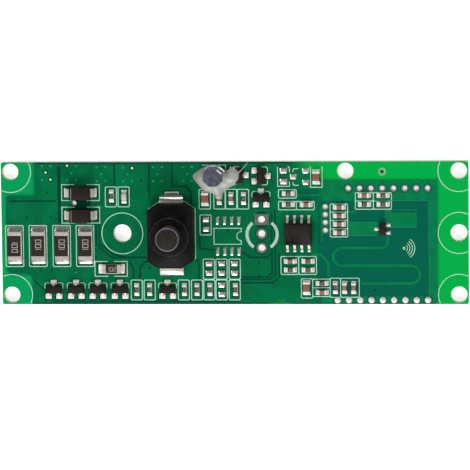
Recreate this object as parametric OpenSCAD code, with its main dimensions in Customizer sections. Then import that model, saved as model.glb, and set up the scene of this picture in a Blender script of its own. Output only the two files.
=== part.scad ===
// Controller board of a motion-sensing light, with its microwave radar section on the same laminate.
// The origin is the centre of the board's underside. X runs along the board towards the radar section,
// Y towards the edge that carries the glued inductor, and Z out of the component side.

/* [Board] */
// Length of the board
board_len = 83; // [83:0.5:90]
// Width of the board
board_w = 25.4; // [25.4:0.2:30]
// Thickness of the laminate
board_t = 1.6; // [1.2:0.1:2]
// Radius of the board's corners
board_corner_r = 0.3; // [0.1:0.1:0.5]

/* [Mounting holes] */
// Radius of the four corner holes
corner_hole_r = 1.45; // [1.2:0.05:1.5]
// Distance of a corner hole's centre from each edge
corner_hole_inset = 1.7; // [1.6:0.05:2]
// Radius of the large hole beside the switch
side_hole_r = 1.6; // [1.2:0.05:1.8]
// Distance of the large hole from the left edge
side_hole_left = 21.6; // [21.2:0.1:22]
// Radius of the hole in the middle of the right edge
end_hole_r = 1.5; // [1.2:0.05:1.5]
// Radius of the hole on the back edge
back_hole_r = 1.45; // [1.2:0.05:1.5]
// Distance of the back hole from the right edge
back_hole_right = 21.7; // [21:0.1:22]

/* [Plated holes] */
// Thickness of the plating and of every bare pad
plate_t = 0.04; // [0.03:0.01:0.06]
// Drill radius of the header holes
header_drill_r = 0.45; // [0.4:0.05:0.5]
// Pad radius of the header holes
header_pad_r = 0.64; // [0.6:0.02:0.7]
// Pitch of both header rows
header_pitch = 2; // [2:0.02:2.1]
// Distance of the last header hole from the right edge
header_right = 7.2; // [6.8:0.1:7.4]
// Distance of the back header row from the back edge
header_back_inset = 4.75; // [4.5:0.05:5]
// Distance of the front header row from the front edge
header_front_inset = 0.75; // [0.75:0.05:0.85]
// Height of the solder domes on the front header row
header_dome_h = 0.3; // [0.2:0.05:0.5]
// Drill radius of the three sensor holes
sensor_drill_r = 0.65; // [0.5:0.05:0.7]
// Pad radius of the two round sensor pads
sensor_pad_r = 0.98; // [0.9:0.02:1.1]
// Pitch of the sensor holes
sensor_pitch = 2.54; // [2.54:0.02:2.6]
// Drill radius of the four programming holes
program_drill_r = 0.45; // [0.35:0.05:0.5]
// Pad radius of the programming holes
program_pad_r = 0.58; // [0.55:0.01:0.62]
// Pitch of the programming holes
program_pitch = 1.4; // [1.35:0.01:1.45]
// Drill radius of the antenna via
antenna_drill_r = 0.35; // [0.3:0.05:0.5]
// Pad radius of the antenna via
antenna_pad_r = 0.7; // [0.6:0.05:0.8]

/* [Switch] */
// Width of the switch body
sw_w = 8; // [7.6:0.1:8.4]
// Length of the switch body
sw_len = 11.4; // [11:0.1:11.8]
// Height of the switch body above the board
sw_h = 5; // [4.8:0.1:5.6]
// Share of the switch body's height that its base takes
sw_base_share = 0.38; // [0.34:0.01:0.4]
// Width left flat at each end of the body
sw_end_flat = 4.2; // [3.8:0.1:4.4]
// Depth of the cut corners of the body
sw_corner_cut = 1.2; // [0.8:0.1:1.5]
// Radius of the collar round the button
sw_collar_r = 3.4; // [3.3:0.05:3.6]
// Height of the collar above the body
sw_collar_h = 1.35; // [1.2:0.05:1.6]
// Thickness of the lip that keeps the button in
sw_lip_t = 0.8; // [0.6:0.05:1]
// Radius of the chamber inside the body
sw_chamber_r = 2.9; // [2.85:0.05:3]
// Radius of the button's stem
sw_stem_r = 2.1; // [1.9:0.05:2.15]
// Height that the button stands above the collar
sw_button_h = 3.5; // [3:0.1:4]
// Travel of the button, as a share of the switch body's height
sw_travel_share = 0.3; // [0.2:0.01:0.31]
// Radial gap round the sliding stem
sw_slide_gap = 0.05; // [0.03:0.01:0.08]
// Radial gap round the flange and the rotor
sw_flange_gap = 0.15; // [0.1:0.05:0.2]
// Thickness of the button's flange
sw_flange_t = 0.45; // [0.4:0.05:0.5]
// Height of the ratchet teeth
sw_tooth_h = 0.4; // [0.3:0.05:0.45]
// Number of ratchet teeth
sw_teeth = 8; // [6:1:8]
// Thickness of the contact ring
sw_contact_t = 0.2; // [0.15:0.05:0.25]
// Number of guide ribs in the chamber
sw_ribs = 4; // [2:1:4]
// Radius of the spring's outside
spring_r = 1.25; // [1.1:0.05:1.3]
// Diameter of the spring's wire
spring_wire = 0.26; // [0.2:0.02:0.3]
// Number of turns of the spring
spring_turns = 5; // [4:1:6]
// Width of the terminals' shoulders
terminal_w = 4.2; // [3.8:0.1:4.2]
// Thickness of the terminals' sheet
terminal_t = 0.3; // [0.2:0.05:0.35]
// Reach of the terminals beyond the body
terminal_reach = 1.25; // [1.1:0.05:1.4]
// Width of the terminals' legs
terminal_leg_w = 1.6; // [1.4:0.1:2]

/* [Chip parts] */
// Length, width and height of the current resistors
chip_2010 = [5, 2.5, 0.6];
// Length, width and height of the shunt resistor
chip_1206 = [3.2, 1.6, 0.6];
// Length, width and height of the large capacitors
chip_0805 = [2, 1.25, 0.9];
// Length, width and height of the small resistors
chip_0603 = [1.6, 0.8, 0.45];
// Length, width and height of the small capacitors
chip_0603_cap = [1.6, 0.8, 0.8];
// Pitch of the current resistors
current_pitch = 4.22; // [4.1:0.02:4.3]
// Thickness of the metal ends
end_t = 0.05; // [0.03:0.01:0.06]
// Reach of a solder fillet in front of a chip
fillet_reach = 0.35; // [0.25:0.05:0.4]
// Share of a chip's height that its solder climbs
fillet_climb = 0.8; // [0.5:0.05:0.9]

/* [Moulded parts] */
// Length of the diode body
diode_len = 3.9; // [3.8:0.1:4.3]
// Width of the diode body
diode_w = 2.6; // [2.4:0.1:2.8]
// Height of the diode body
diode_h = 2; // [1.8:0.1:2.2]
// Width of the diode leads
diode_lead_w = 1.5; // [1.3:0.1:1.6]
// Length of the transistor body
sot_len = 2.9; // [2.8:0.05:3]
// Width of the transistor body
sot_w = 1.4; // [1.3:0.05:1.5]
// Height of the transistor body
sot_h = 1; // [0.9:0.05:1.1]
// Pitch of the two leads on one side of a transistor
sot_pitch = 1.9; // [1.8:0.05:1.95]
// Length of the controller body
soic_len = 4.9; // [4.8:0.05:5]
// Width of the controller body
soic_w = 3.9; // [3.8:0.05:4]
// Height of the controller body
soic_h = 1.4; // [1.3:0.05:1.5]
// Pitch of the controller leads
soic_pitch = 1.27; // [1.25:0.01:1.29]
// Length of the radar transistor body
rf_len = 2.1; // [2:0.05:2.2]
// Width of the radar transistor body
rf_w = 1.25; // [1.15:0.05:1.3]
// Height of the radar transistor body
rf_h = 0.9; // [0.8:0.05:1]
// Width of the indicator's body
led_w = 0.85; // [0.8:0.05:1]
// Length of the indicator's body
led_len = 1.7; // [1.6:0.05:2]

/* [Inductor and glue] */
// Radius of the inductor's flanges
drum_r = 1.75; // [1.7:0.05:1.8]
// Height of the inductor
drum_h = 2.3; // [2:0.1:2.6]
// Thickness of each flange
drum_flange_t = 0.5; // [0.4:0.05:0.6]
// Radius of the inductor's waist
drum_waist_r = 0.8; // [0.7:0.05:0.9]
// Radius of the winding
winding_r = 1.4; // [1.3:0.05:1.5]

/* [Radar section] */
// Thickness of the antenna copper under its green mask
copper_t = 0.04; // [0.03:0.01:0.06]
// Width of the antenna line
antenna_w = 0.5; // [0.4:0.05:0.6]
// Distance between the runs of the antenna line
antenna_pitch = 3.18; // [3:0.02:3.2]
// Length of the resonator patch
patch_len = 4.45; // [4:0.05:4.6]
// Width of the resonator patch
patch_w = 2.65; // [2.4:0.05:2.7]
// Length of the feed strip
feed_len = 5.3; // [5:0.05:5.4]
// Width of the feed strip
feed_w = 2.4; // [2:0.05:2.5]

/* [Hidden] */
$fn = 48;
eps = 0.01;

// Places are measured from the edge that each group keeps its distance to
function left(x) = x - board_len / 2;
function right(x) = board_len / 2 - x;
function front(y) = y - board_w / 2;
function back(y) = board_w / 2 - y;

// Turn of a part whose length runs along X or along Y
along_x = 0;
along_y = 90;

// Current resistors, in one row across the left end
current_x = left(2.35);
current_y = -2.2;
current_count = 4;
current_places = [for (i = [0:current_count - 1]) [current_x + i * current_pitch, current_y, along_y]];

shunt_places = [[left(19.6), front(6.35), along_x]];

// Small resistors: the front row, the glue corner, the controller's corner and the radar section
front_row_y = front(2.65);
radar_row_y = front(3);
cluster_y = [5.1, 6.7];
supply_y = [front(6.15), front(7.7)];
small_resistor_places = [
    for (x = [24.05, 26.35, 32.55, 34.8, 37.1, 41.65]) [left(x), front_row_y, along_y],
    [left(19.75), back(6), along_y],
    [left(43.25), back(6.5), along_y],
    [right(31.8), back(5.65), along_x],
    [right(31.8), back(7.6), along_x],
    [right(15.05), cluster_y[0], along_x],
    [right(15.05), cluster_y[1], along_x],
    [right(18.35), cluster_y[0], along_x],
    [right(28.4), supply_y[0], along_x],
    [right(28.4), supply_y[1], along_x],
    [right(31.55), supply_y[0], along_x],
    [right(25.95), front(3.75), along_x],
    [right(23.6), radar_row_y, along_y]
];

// Small capacitors: beside the glue, the column left of the feed strip, and singles
column_count = 4;
column_pitch = 1.5;
column_y = 2.36;
glued_capacitor_place = [left(38.95), back(6.5), along_y];
small_capacitor_places = [
    for (i = [0:column_count - 1])
        [right(22.8), column_y + (i - (column_count - 1) / 2) * column_pitch, along_x],
    glued_capacitor_place,
    [left(41.05), back(6.5), along_y],
    [right(28.65), back(7.6), along_x],
    [right(18.35), cluster_y[1], along_x],
    [right(31.55), supply_y[1], along_x],
    [right(25.95), front(2.15), along_x],
    [right(21.95), radar_row_y, along_y],
    [right(20.35), radar_row_y, along_y]
];

large_capacitor_places = [
    [left(36.4), back(6.5), along_y],
    [right(26.85), back(2.7), along_y],
    [right(28.7), front(3), along_y]
];

indicator_place = [left(22), back(6.15), along_y];

diode_places = [[left(14.2), back(5.4), along_x], [left(14.2), back(9.42), along_x]];

// Transistors: the single lead points along +Y before the turn
glued_transistor_place = [left(42.5), back(2.35), -90];
transistor_places = [
    for (x = [9.2, 13.2, 17.1, 21.05, 29.55]) [left(x), front(2.7), 0],
    [right(36.65), back(6.4), 0],
    [right(36.6), back(2.5), -90],
    glued_transistor_place
];
radar_transistor_place = [right(15.2), 0.7, 90];
controller_place = [right(30.1), -0.1, 0];

// Places that hold bare pads: chips, a driver and a transistor that this version leaves out
bare_small_places = [
    [left(36.48), 1.65, along_y],
    [left(39.22), front_row_y, along_y],
    for (x = [37, 39.24, 41.52]) [left(x), front(6.48), along_y]
];
bare_large_place = [right(32.62), back(2.5), along_y];
bare_driver_place = [left(40.45), -0.5, 0];
bare_transistor_place = [right(29.82), back(2.62), 90];

// Header rows
header_back_count = 8;
header_front_count = 9;
function header_x(i) = right(header_right + i * header_pitch);

// Sensor and programming holes
sensor_x = right(36.6);
sensor_y = -0.1;
program_x = right(25.3);
program_y = 2.58;
program_count = 4;
antenna_via_place = [right(15.2), back(1.8)];
vent_place = [left(13.05), back(7.3)];
vent_r = 0.42;
open_via_r = 0.2;
open_via_places = [
    [left(11.9), back(0.6)], [left(8.05), back(1.8)], [left(8.9), back(3.05)], [left(23.5), back(1.05)]
];

// Unit vector, left-hand normal of a segment, and the mitred offset of a path's point
function unit(v) = v / norm(v);
function normal(p, q) = let (d = unit(q - p)) [-d[1], d[0]];
function offset_point(p, i, d) =
    i == 0 ? p[0] + normal(p[0], p[1]) * d :
    i == len(p) - 1 ? p[i] + normal(p[i - 1], p[i]) * d :
    let (a = normal(p[i - 1], p[i]), m = unit(a + normal(p[i], p[i + 1]))) p[i] + m * d / (m * a);

// Outline of a strip of width t that follows path p
function strip(p, t) = concat(
    [for (i = [0:len(p) - 1]) offset_point(p, i, t / 2)],
    [for (i = [len(p) - 1:-1:0]) offset_point(p, i, -t / 2)]
);

// Path p with each inner corner eased over the distance r
bend_steps = 3;
function bend(a, b, c, r) =
    let (p = b + unit(a - b) * r, q = b + unit(c - b) * r)
    [for (i = [0:bend_steps]) let (k = i / bend_steps)
        p * (1 - k) * (1 - k) + b * 2 * k * (1 - k) + q * k * k];
function bent(p, r) = concat(
    [p[0]],
    [for (i = [1:len(p) - 2]) each bend(p[i - 1], p[i], p[i + 1], r)],
    [p[len(p) - 1]]
);

// Points of an arc from angle a to angle b
function arc(c, r, a, b, steps) = [for (i = [0:steps]) let (t = a + (b - a) * i / steps)
    c + r * [cos(t), sin(t)]];

// Puts the child on the component side at each place
module seat(places)
    for (p = places) translate([p[0], p[1], board_t]) rotate(p[2]) children();

// Repeats the child on both ends of a part that lies along X
module both_ends() {
    children();
    mirror([1, 0, 0]) children();
}

// Extrudes an outline drawn in X and Z to the width w across Y
module across(w) rotate([90, 0, 0]) linear_extrude(w, center = true) children();

// Board

module rounded_outline(l, w, r) {
    square([l - 2 * r, w], center = true);
    square([l, w - 2 * r], center = true);
    for (x = [-1, 1], y = [-1, 1]) translate([x * (l / 2 - r), y * (w / 2 - r)]) circle(r);
}

module drill(x, y, r) translate([x, y, -eps]) cylinder(r = r, h = board_t + 2 * eps);

module mounting_drills() {
    for (x = [left(corner_hole_inset), right(corner_hole_inset)])
        for (y = [front(corner_hole_inset), back(corner_hole_inset)]) drill(x, y, corner_hole_r);
    drill(left(side_hole_left), 0, side_hole_r);
    drill(right(corner_hole_inset), 0, end_hole_r);
    drill(right(back_hole_right), back(corner_hole_inset), back_hole_r);
}

// Room that a plated hole takes out of the laminate: the drill and its pad's recess underneath
module plated_room(x, y, drill_r, pad_r) {
    drill(x, y, drill_r);
    translate([x, y, -eps]) cylinder(r = pad_r, h = plate_t + eps);
}

module sensor_square_pad(h) translate([-sensor_pitch / 2, -sensor_pad_r, 0])
    cube([sensor_pitch, 2 * sensor_pad_r, h]);

module plated_rooms() {
    for (i = [0:header_back_count - 1])
        plated_room(header_x(i), back(header_back_inset), header_drill_r, header_pad_r);
    for (i = [0:header_front_count - 1])
        plated_room(header_x(i), front(header_front_inset), header_drill_r, header_pad_r);
    for (i = [0:program_count - 1]) plated_room(program_x, program_hole_y(i), program_drill_r, program_pad_r);
    for (i = [-1, 0]) plated_room(sensor_x, sensor_y + i * sensor_pitch, sensor_drill_r, sensor_pad_r);
    drill(sensor_x, sensor_y + sensor_pitch, sensor_drill_r);
    translate([sensor_x, sensor_y + sensor_pitch, -eps]) sensor_square_pad(plate_t + eps);
    plated_room(antenna_via_place[0], antenna_via_place[1], antenna_drill_r, antenna_pad_r);
}

function program_hole_y(i) = program_y + (i - (program_count - 1) / 2) * program_pitch;

module circuit_board() color([0, 0.42, 0.24]) difference() {
    linear_extrude(board_t) rounded_outline(board_len, board_w, board_corner_r);
    mounting_drills();
    plated_rooms();
    drill(vent_place[0], vent_place[1], vent_r);
    for (p = open_via_places) drill(p[0], p[1], open_via_r);
    switch_slots() slot_room();
}

// Plated lining and both pads of a hole, open through the middle
module barrel(drill_r, pad_r) difference() {
    union() {
        cylinder(r = drill_r, h = board_t);
        cylinder(r = pad_r, h = plate_t);
        translate([0, 0, board_t]) cylinder(r = pad_r, h = plate_t);
    }
    translate([0, 0, -eps]) cylinder(r = drill_r - plate_t, h = board_t + plate_t + 2 * eps);
}

module square_barrel() difference() {
    union() {
        cylinder(r = sensor_drill_r, h = board_t);
        sensor_square_pad(plate_t);
        translate([0, 0, board_t]) sensor_square_pad(plate_t);
    }
    translate([0, 0, -eps]) cylinder(r = sensor_drill_r - plate_t, h = board_t + plate_t + 2 * eps);
}

// Small tinned rings round the open vias at the left end
via_ring_w = 0.15;
module via_rings() color("silver") for (p = open_via_places) translate([p[0], p[1], board_t])
    difference() {
        cylinder(r = open_via_r + via_ring_w, h = plate_t);
        translate([0, 0, -eps]) cylinder(r = open_via_r, h = plate_t + 2 * eps);
    }

module sensor_barrels() color("silver") {
    for (i = [-1, 0]) translate([sensor_x, sensor_y + i * sensor_pitch, 0])
        barrel(sensor_drill_r, sensor_pad_r);
    translate([sensor_x, sensor_y + sensor_pitch, 0]) square_barrel();
}

module header_barrels() color("silver") {
    for (i = [0:header_back_count - 1]) translate([header_x(i), back(header_back_inset), 0])
        barrel(header_drill_r, header_pad_r);
    for (i = [0:header_front_count - 1]) translate([header_x(i), front(header_front_inset), 0])
        barrel(header_drill_r, header_pad_r);
}

// Spherical cap of height h on a circle of radius r
module dome(r, h) {
    ball_r = (r * r + h * h) / (2 * h);
    intersection() {
        translate([0, 0, h - ball_r]) sphere(ball_r);
        cylinder(r = r, h = h);
    }
}

module header_solder() color("silver") for (i = [0:header_front_count - 1])
    translate([header_x(i), front(header_front_inset), 0]) {
        cylinder(r = header_drill_r - plate_t, h = board_t + plate_t);
        translate([0, 0, board_t + plate_t]) dome(header_pad_r, header_dome_h);
    }

module programming_barrels() color("silver") for (i = [0:program_count - 1])
    translate([program_x, program_hole_y(i), 0]) barrel(program_drill_r, program_pad_r);

module antenna_via() color("silver") translate([antenna_via_place[0], antenna_via_place[1], 0])
    barrel(antenna_drill_r, antenna_pad_r);

// Radar section

// The line leaves the radar transistor, then runs to and fro in three runs joined by half turns
line_start = [right(14.25), -0.35];
run_y = [-2.63, -2.63 - antenna_pitch, -2.63 - 2 * antenna_pitch];
run_left = right(22.35);
run_right = right(10.2);
line_end = right(19);
line_ease = 1.2;
turn_steps = 12;
turn_step = 180 / turn_steps;
module antenna_line() color([0, 0.5, 0.35]) translate([0, 0, board_t]) linear_extrude(copper_t)
    polygon(strip(concat(
        bent([line_start, [line_start[0], run_y[0]], [run_left, run_y[0]]], line_ease),
        arc([run_left, (run_y[0] + run_y[1]) / 2], antenna_pitch / 2, 90 + turn_step, 270, turn_steps - 1),
        arc([run_right, (run_y[1] + run_y[2]) / 2], antenna_pitch / 2, 90, -90, turn_steps),
        [[line_end, run_y[2]]]
    ), antenna_w));

patch_left = right(13.7);
patch_y = 1;
patch_tab_left = 1;
patch_tab_w = 1.15;
patch_tab_up = 0.45;
patch_tab_down = 0.75;
module resonator_patch() color([0, 0.5, 0.35]) translate([patch_left, patch_y, board_t])
    linear_extrude(copper_t) {
        square([patch_len, patch_w]);
        translate([-patch_tab_left, patch_tab_down])
            square([patch_tab_w, patch_w + patch_tab_up - patch_tab_down]);
    }

feed_y = 0.74;
module feed_strip() color([0, 0.5, 0.35])
    difference() {
        translate([radar_transistor_place[0] - rf_w / 2 - feed_len, feed_y - feed_w / 2, board_t])
            cube([feed_len, feed_w, copper_t]);
        seat([radar_transistor_place]) {
            rf_leads();
            rf_joints();
        }
    }

// Bare pads

small_pad = [0.95, 1.2];
small_pad_offset = 0.85;
large_pad = [1.02, 1.3];
large_pad_offset = 0.96;
driver_pad = [0.57, 1.6];
driver_pad_offset = 2.75;
driver_row = 4;
bare_sot_pad = [1, 1.18];
bare_sot_pitch = 2.04;
bare_sot_offset = 1.1;

module pad(size) translate([-size[0] / 2, -size[1] / 2, 0]) cube([size[0], size[1], plate_t]);

module bare_chip_pads() color("silver") {
    seat(bare_small_places) both_ends() translate([small_pad_offset, 0, 0]) pad(small_pad);
    seat([bare_large_place]) both_ends() translate([large_pad_offset, 0, 0]) pad(large_pad);
}

module bare_driver_pads() color("silver") seat([bare_driver_place])
    for (s = [-1, 1], i = [0:driver_row - 1])
        translate([(i - (driver_row - 1) / 2) * soic_pitch, s * driver_pad_offset, 0]) pad(driver_pad);

module bare_transistor_pads() color("silver") seat([bare_transistor_place])
    for (p = sot_lead_places(bare_sot_pitch)) translate([p[0], p[1] * bare_sot_offset, 0]) pad(bare_sot_pad);

// Chip parts, drawn lying along X with their underside at zero

resistor_lip = 0.3;
capacitor_lip = 0.35;
current_lip = 0.6;

module resistor_body(size) translate([end_t - size[0] / 2, -size[1] / 2, end_t])
    cube([size[0] - 2 * end_t, size[1], size[2] - 2 * end_t]);

// Metal end of a resistor, wrapped over the top, the end and the underside
module resistor_ends(size, lip) both_ends() translate([size[0] / 2, 0, 0]) across(size[1])
    polygon([
        [0, 0], [0, size[2]], [-lip, size[2]], [-lip, size[2] - end_t],
        [-end_t, size[2] - end_t], [-end_t, end_t], [-lip, end_t], [-lip, 0]
    ]);

module capacitor_body(size) translate([end_t - size[0] / 2, end_t - size[1] / 2, end_t])
    cube([size[0] - 2 * end_t, size[1] - 2 * end_t, size[2] - 2 * end_t]);

// Metal end of a capacitor, wrapped over all five faces
module capacitor_ends(size) both_ends() difference() {
    translate([size[0] / 2 - capacitor_lip, -size[1] / 2, 0]) cube([capacitor_lip, size[1], size[2]]);
    capacitor_body(size);
}

// Hollow solder fillet from a pad up the end of a chip
fillet_edge = 0.03;
fillet_steps = 4;
fillet_overhang = 0.1;
function fillet_curve(reach, climb) = [for (i = [0:fillet_steps]) let (t = 90 * i / fillet_steps)
    [reach * (1 - sin(t)), fillet_edge + (climb - fillet_edge) * (1 - cos(t))]];
module end_fillet(reach, climb, w) across(w)
    polygon(concat([[0, 0], [reach, 0]], fillet_curve(reach, climb)));

module chip_fillets(size, reach) both_ends() translate([size[0] / 2, 0, 0])
    end_fillet(reach, size[2] * fillet_climb, size[1] + fillet_overhang);

module current_resistor_bodies() color([0.14, 0.12, 0.12]) seat(current_places) resistor_body(chip_2010);
module current_resistor_ends() color("silver") seat(current_places) resistor_ends(chip_2010, current_lip);
module shunt_resistor_body() color([0.14, 0.12, 0.12]) seat(shunt_places) resistor_body(chip_1206);
module shunt_resistor_ends() color("silver") seat(shunt_places) resistor_ends(chip_1206, current_lip);
module small_resistor_bodies() color([0.14, 0.12, 0.12]) seat(small_resistor_places)
    resistor_body(chip_0603);
module small_resistor_ends() color("silver") seat(small_resistor_places)
    resistor_ends(chip_0603, resistor_lip);
module small_capacitor_bodies() color([0.62, 0.36, 0.25]) seat(small_capacitor_places)
    capacitor_body(chip_0603_cap);
module small_capacitor_ends() color("silver") seat(small_capacitor_places) capacitor_ends(chip_0603_cap);
module large_capacitor_bodies() color([0.6, 0.33, 0.22]) seat(large_capacitor_places)
    capacitor_body(chip_0805);
module large_capacitor_ends() color("silver") seat(large_capacitor_places) capacitor_ends(chip_0805);

current_fillet = 0.75;
shunt_fillet = 0.75;
module chip_solder() color("silver") {
    seat(current_places) chip_fillets(chip_2010, current_fillet);
    seat(shunt_places) chip_fillets(chip_1206, shunt_fillet);
    seat(small_resistor_places) chip_fillets(chip_0603, fillet_reach);
    seat(small_capacitor_places) chip_fillets(chip_0603_cap, fillet_reach);
    seat(large_capacitor_places) chip_fillets(chip_0805, fillet_reach);
    seat([indicator_place]) chip_fillets([led_len, led_w, led_base_h], fillet_reach);
}

// Indicator

led_base_h = 0.25;
led_lens_h = 0.4;
led_end_w = 0.3;
led_draft = 0.08;
module indicator_base() color("white") seat([indicator_place])
    translate([led_end_w - led_len / 2, -led_w / 2, 0]) cube([led_len - 2 * led_end_w, led_w, led_base_h]);

module indicator_ends() color("silver") seat([indicator_place]) both_ends()
    translate([led_len / 2 - led_end_w, -led_w / 2, 0]) cube([led_end_w, led_w, led_base_h]);

module indicator_lens() color("ivory") seat([indicator_place]) translate([0, 0, led_base_h])
    across(led_w) polygon([
        [-led_len / 2 + led_end_w, 0], [led_len / 2 - led_end_w, 0],
        [led_len / 2 - led_end_w - led_draft, led_lens_h], [-led_len / 2 + led_end_w + led_draft, led_lens_h]
    ]);

// Moulded parts

// Moulded block whose four sides lean in above and below the parting line
module moulded(l, w, h, split, lean) {
    intersection() {
        across(w) polygon([
            [-l / 2 + lean, 0], [-l / 2, split], [-l / 2 + lean, h],
            [l / 2 - lean, h], [l / 2, split], [l / 2 - lean, 0]
        ]);
        rotate(90) across(l) polygon([
            [-w / 2 + lean, 0], [-w / 2, split], [-w / 2 + lean, h],
            [w / 2 - lean, h], [w / 2, split], [w / 2 - lean, 0]
        ]);
    }
}

// Bent lead that leaves a moulded side at height z, drops and stands on its foot
lead_root = 0.3;
module gull_lead(out, drop, reach, z, t, w) across(w) polygon(strip(
    bent([[-lead_root, z], [out, z], [drop, t / 2], [reach, t / 2]], t), t));

// Solder at the toe of a bent lead
toe_reach = 0.28;
toe_overhang = 0.12;
module toe_solder(t, w) end_fillet(toe_reach, t, w + toe_overhang);

diode_lead_t = 0.2;
diode_lead_out = 0.45;
diode_foot = 1.1;
diode_split = 1;
diode_lean = 0.16;
diode_fillet = [0.4, 1];
module diode_lead_shapes() both_ends() translate([diode_len / 2, 0, 0]) across(diode_lead_w)
    polygon(strip(bent([
        [-lead_root, diode_split + diode_lead_t], [diode_lead_out, diode_split + diode_lead_t],
        [diode_lead_out, diode_lead_t / 2], [-diode_foot, diode_lead_t / 2]
    ], diode_lead_t), diode_lead_t));

module diode_bodies() color([0.12, 0.11, 0.11]) seat(diode_places) difference() {
    translate([0, 0, diode_lead_t]) moulded(diode_len, diode_w, diode_h, diode_split, diode_lean);
    diode_lead_shapes();
}
module diode_leads() color("silver") seat(diode_places) diode_lead_shapes();

// Three-lead transistors: places of the leads as [x, side]
function sot_lead_places(pitch) = [[-pitch / 2, -1], [pitch / 2, -1], [0, 1]];

lead_t = 0.13;
sot_lead_w = 0.42;
sot_reach = 1.25;
sot_foot = 0.35;
sot_stand = 0.08;
sot_lean = 0.08;
sot_pad_w = 1.1;
sot_toe = 0.45;
rf_lead_w = 0.3;
rf_pitch = 1.36;
rf_reach = 1.08;
rf_foot = 0.25;
rf_pad_w = 0.6;
rf_toe = 0.35;

module sot_leads(w, h, pitch, reach, foot, lead_w)
    for (p = sot_lead_places(pitch)) translate([p[0], 0, 0]) rotate(p[1] * 90) translate([w / 2, 0, 0])
        gull_lead(lead_t, reach - w / 2 - foot, reach - w / 2, sot_stand + h / 2, lead_t, lead_w);

module sot_body(l, w, h, pitch, reach, foot, lead_w) difference() {
    translate([0, 0, sot_stand]) moulded(l, w, h, h / 2, sot_lean);
    sot_leads(w, h, pitch, reach, foot, lead_w);
}

// Solder that covers each pad in front of and beside the foot of its lead
joint_heel = 0.1;
module sot_joints(w, h, pitch, reach, foot, lead_w, pad_w, toe) difference() {
    for (p = sot_lead_places(pitch)) translate([p[0], 0, 0]) rotate(p[1] * 90) translate([reach, 0, 0])
        across(pad_w) polygon(concat(
            [[-foot - joint_heel, fillet_edge], [-foot - joint_heel, 0], [toe, 0]],
            fillet_curve(toe, lead_t)
        ));
    sot_leads(w, h, pitch, reach, foot, lead_w);
}

module sot_pad_joints()
    sot_joints(sot_w, sot_h, sot_pitch, sot_reach, sot_foot, sot_lead_w, sot_pad_w, sot_toe);
module rf_leads() sot_leads(rf_w, rf_h, rf_pitch, rf_reach, rf_foot, rf_lead_w);
module rf_joints() sot_joints(rf_w, rf_h, rf_pitch, rf_reach, rf_foot, rf_lead_w, rf_pad_w, rf_toe);

module transistor_bodies() color([0.12, 0.11, 0.11]) seat(transistor_places)
    sot_body(sot_len, sot_w, sot_h, sot_pitch, sot_reach, sot_foot, sot_lead_w);
module transistor_leads() color("silver") seat(transistor_places)
    sot_leads(sot_w, sot_h, sot_pitch, sot_reach, sot_foot, sot_lead_w);
module radar_transistor_body() color([0.12, 0.11, 0.11]) seat([radar_transistor_place])
    sot_body(rf_len, rf_w, rf_h, rf_pitch, rf_reach, rf_foot, rf_lead_w);
module radar_transistor_leads() color("silver") seat([radar_transistor_place]) rf_leads();

// Eight-lead controller with a bevelled edge and a dimple at its first lead
soic_lead_t = 0.2;
soic_lead_w = 0.42;
soic_reach = 3;
soic_foot = 0.6;
soic_stand = 0.12;
soic_lean = 0.12;
soic_row = 4;
dimple_r = 0.4;
dimple_depth = 0.08;
dimple_inset = 0.85;
module soic_leads() for (s = [-1, 1], i = [0:soic_row - 1])
    translate([(i - (soic_row - 1) / 2) * soic_pitch, 0, 0]) rotate(s * 90) translate([soic_w / 2, 0, 0])
        gull_lead(0.3, soic_reach - soic_w / 2 - soic_foot, soic_reach - soic_w / 2,
            soic_stand + soic_h / 2, soic_lead_t, soic_lead_w);

module controller_body() color([0.13, 0.12, 0.12]) seat([controller_place]) difference() {
    translate([0, 0, soic_stand]) moulded(soic_len, soic_w, soic_h, soic_h / 2, soic_lean);
    soic_leads();
    translate([dimple_inset - soic_len / 2, dimple_inset - soic_w / 2, soic_stand + soic_h - dimple_depth])
        cylinder(r = dimple_r, h = soic_h);
}
module controller_leads() color("silver") seat([controller_place]) soic_leads();

module lead_solder() color("silver") {
    seat(transistor_places) sot_pad_joints();
    seat([radar_transistor_place]) rf_joints();
    seat([controller_place]) for (s = [-1, 1], i = [0:soic_row - 1])
        translate([(i - (soic_row - 1) / 2) * soic_pitch, 0, 0]) rotate(s * 90)
            translate([soic_reach, 0, 0]) toe_solder(soic_lead_t, soic_lead_w);
    seat(diode_places) both_ends() translate([diode_len / 2 + diode_lead_out + diode_lead_t / 2, 0, 0])
        end_fillet(diode_fillet[0], diode_fillet[1], diode_lead_w + fillet_overhang);
}

// Inductor: a ferrite drum with octagonal flanges, its winding and two tinned feet

inductor_place = [left(38), back(2.4), 0];
drum_turn = 22.5;
foot_t = 0.1;
foot_w = 1.5;
foot_len = 0.9;
module drum_flange() rotate(drum_turn) cylinder(r = drum_r / cos(drum_turn), h = drum_flange_t, $fn = 8);
module inductor_core() color([0.2, 0.21, 0.25]) seat([inductor_place]) translate([0, 0, foot_t]) {
    drum_flange();
    cylinder(r = drum_waist_r, h = drum_h);
    translate([0, 0, drum_h - drum_flange_t]) drum_flange();
}
module inductor_winding() color([0.65, 0.35, 0.18]) seat([inductor_place])
    translate([0, 0, foot_t + drum_flange_t]) difference() {
        cylinder(r = winding_r, h = drum_h - 2 * drum_flange_t);
        translate([0, 0, -eps]) cylinder(r = drum_waist_r, h = drum_h);
    }
module inductor_terminals() color("silver") seat([inductor_place]) both_ends()
    translate([drum_r - foot_len, -foot_w / 2, 0]) cube([foot_len, foot_w, foot_t]);

// Hot glue: drops round the inductor that run into each other, as [x, y, radius, height]
glue_drops = [
    [0, 0, 2.3, 2.4], [-1.4, -0.1, 1.6, 1.5], [-1, -1.5, 1.2, 1], [0.6, -2.1, 1.25, 1.1],
    [1.05, -2.55, 0.65, 0.6], [2.4, -0.7, 1.4, 1.3]
];
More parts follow.
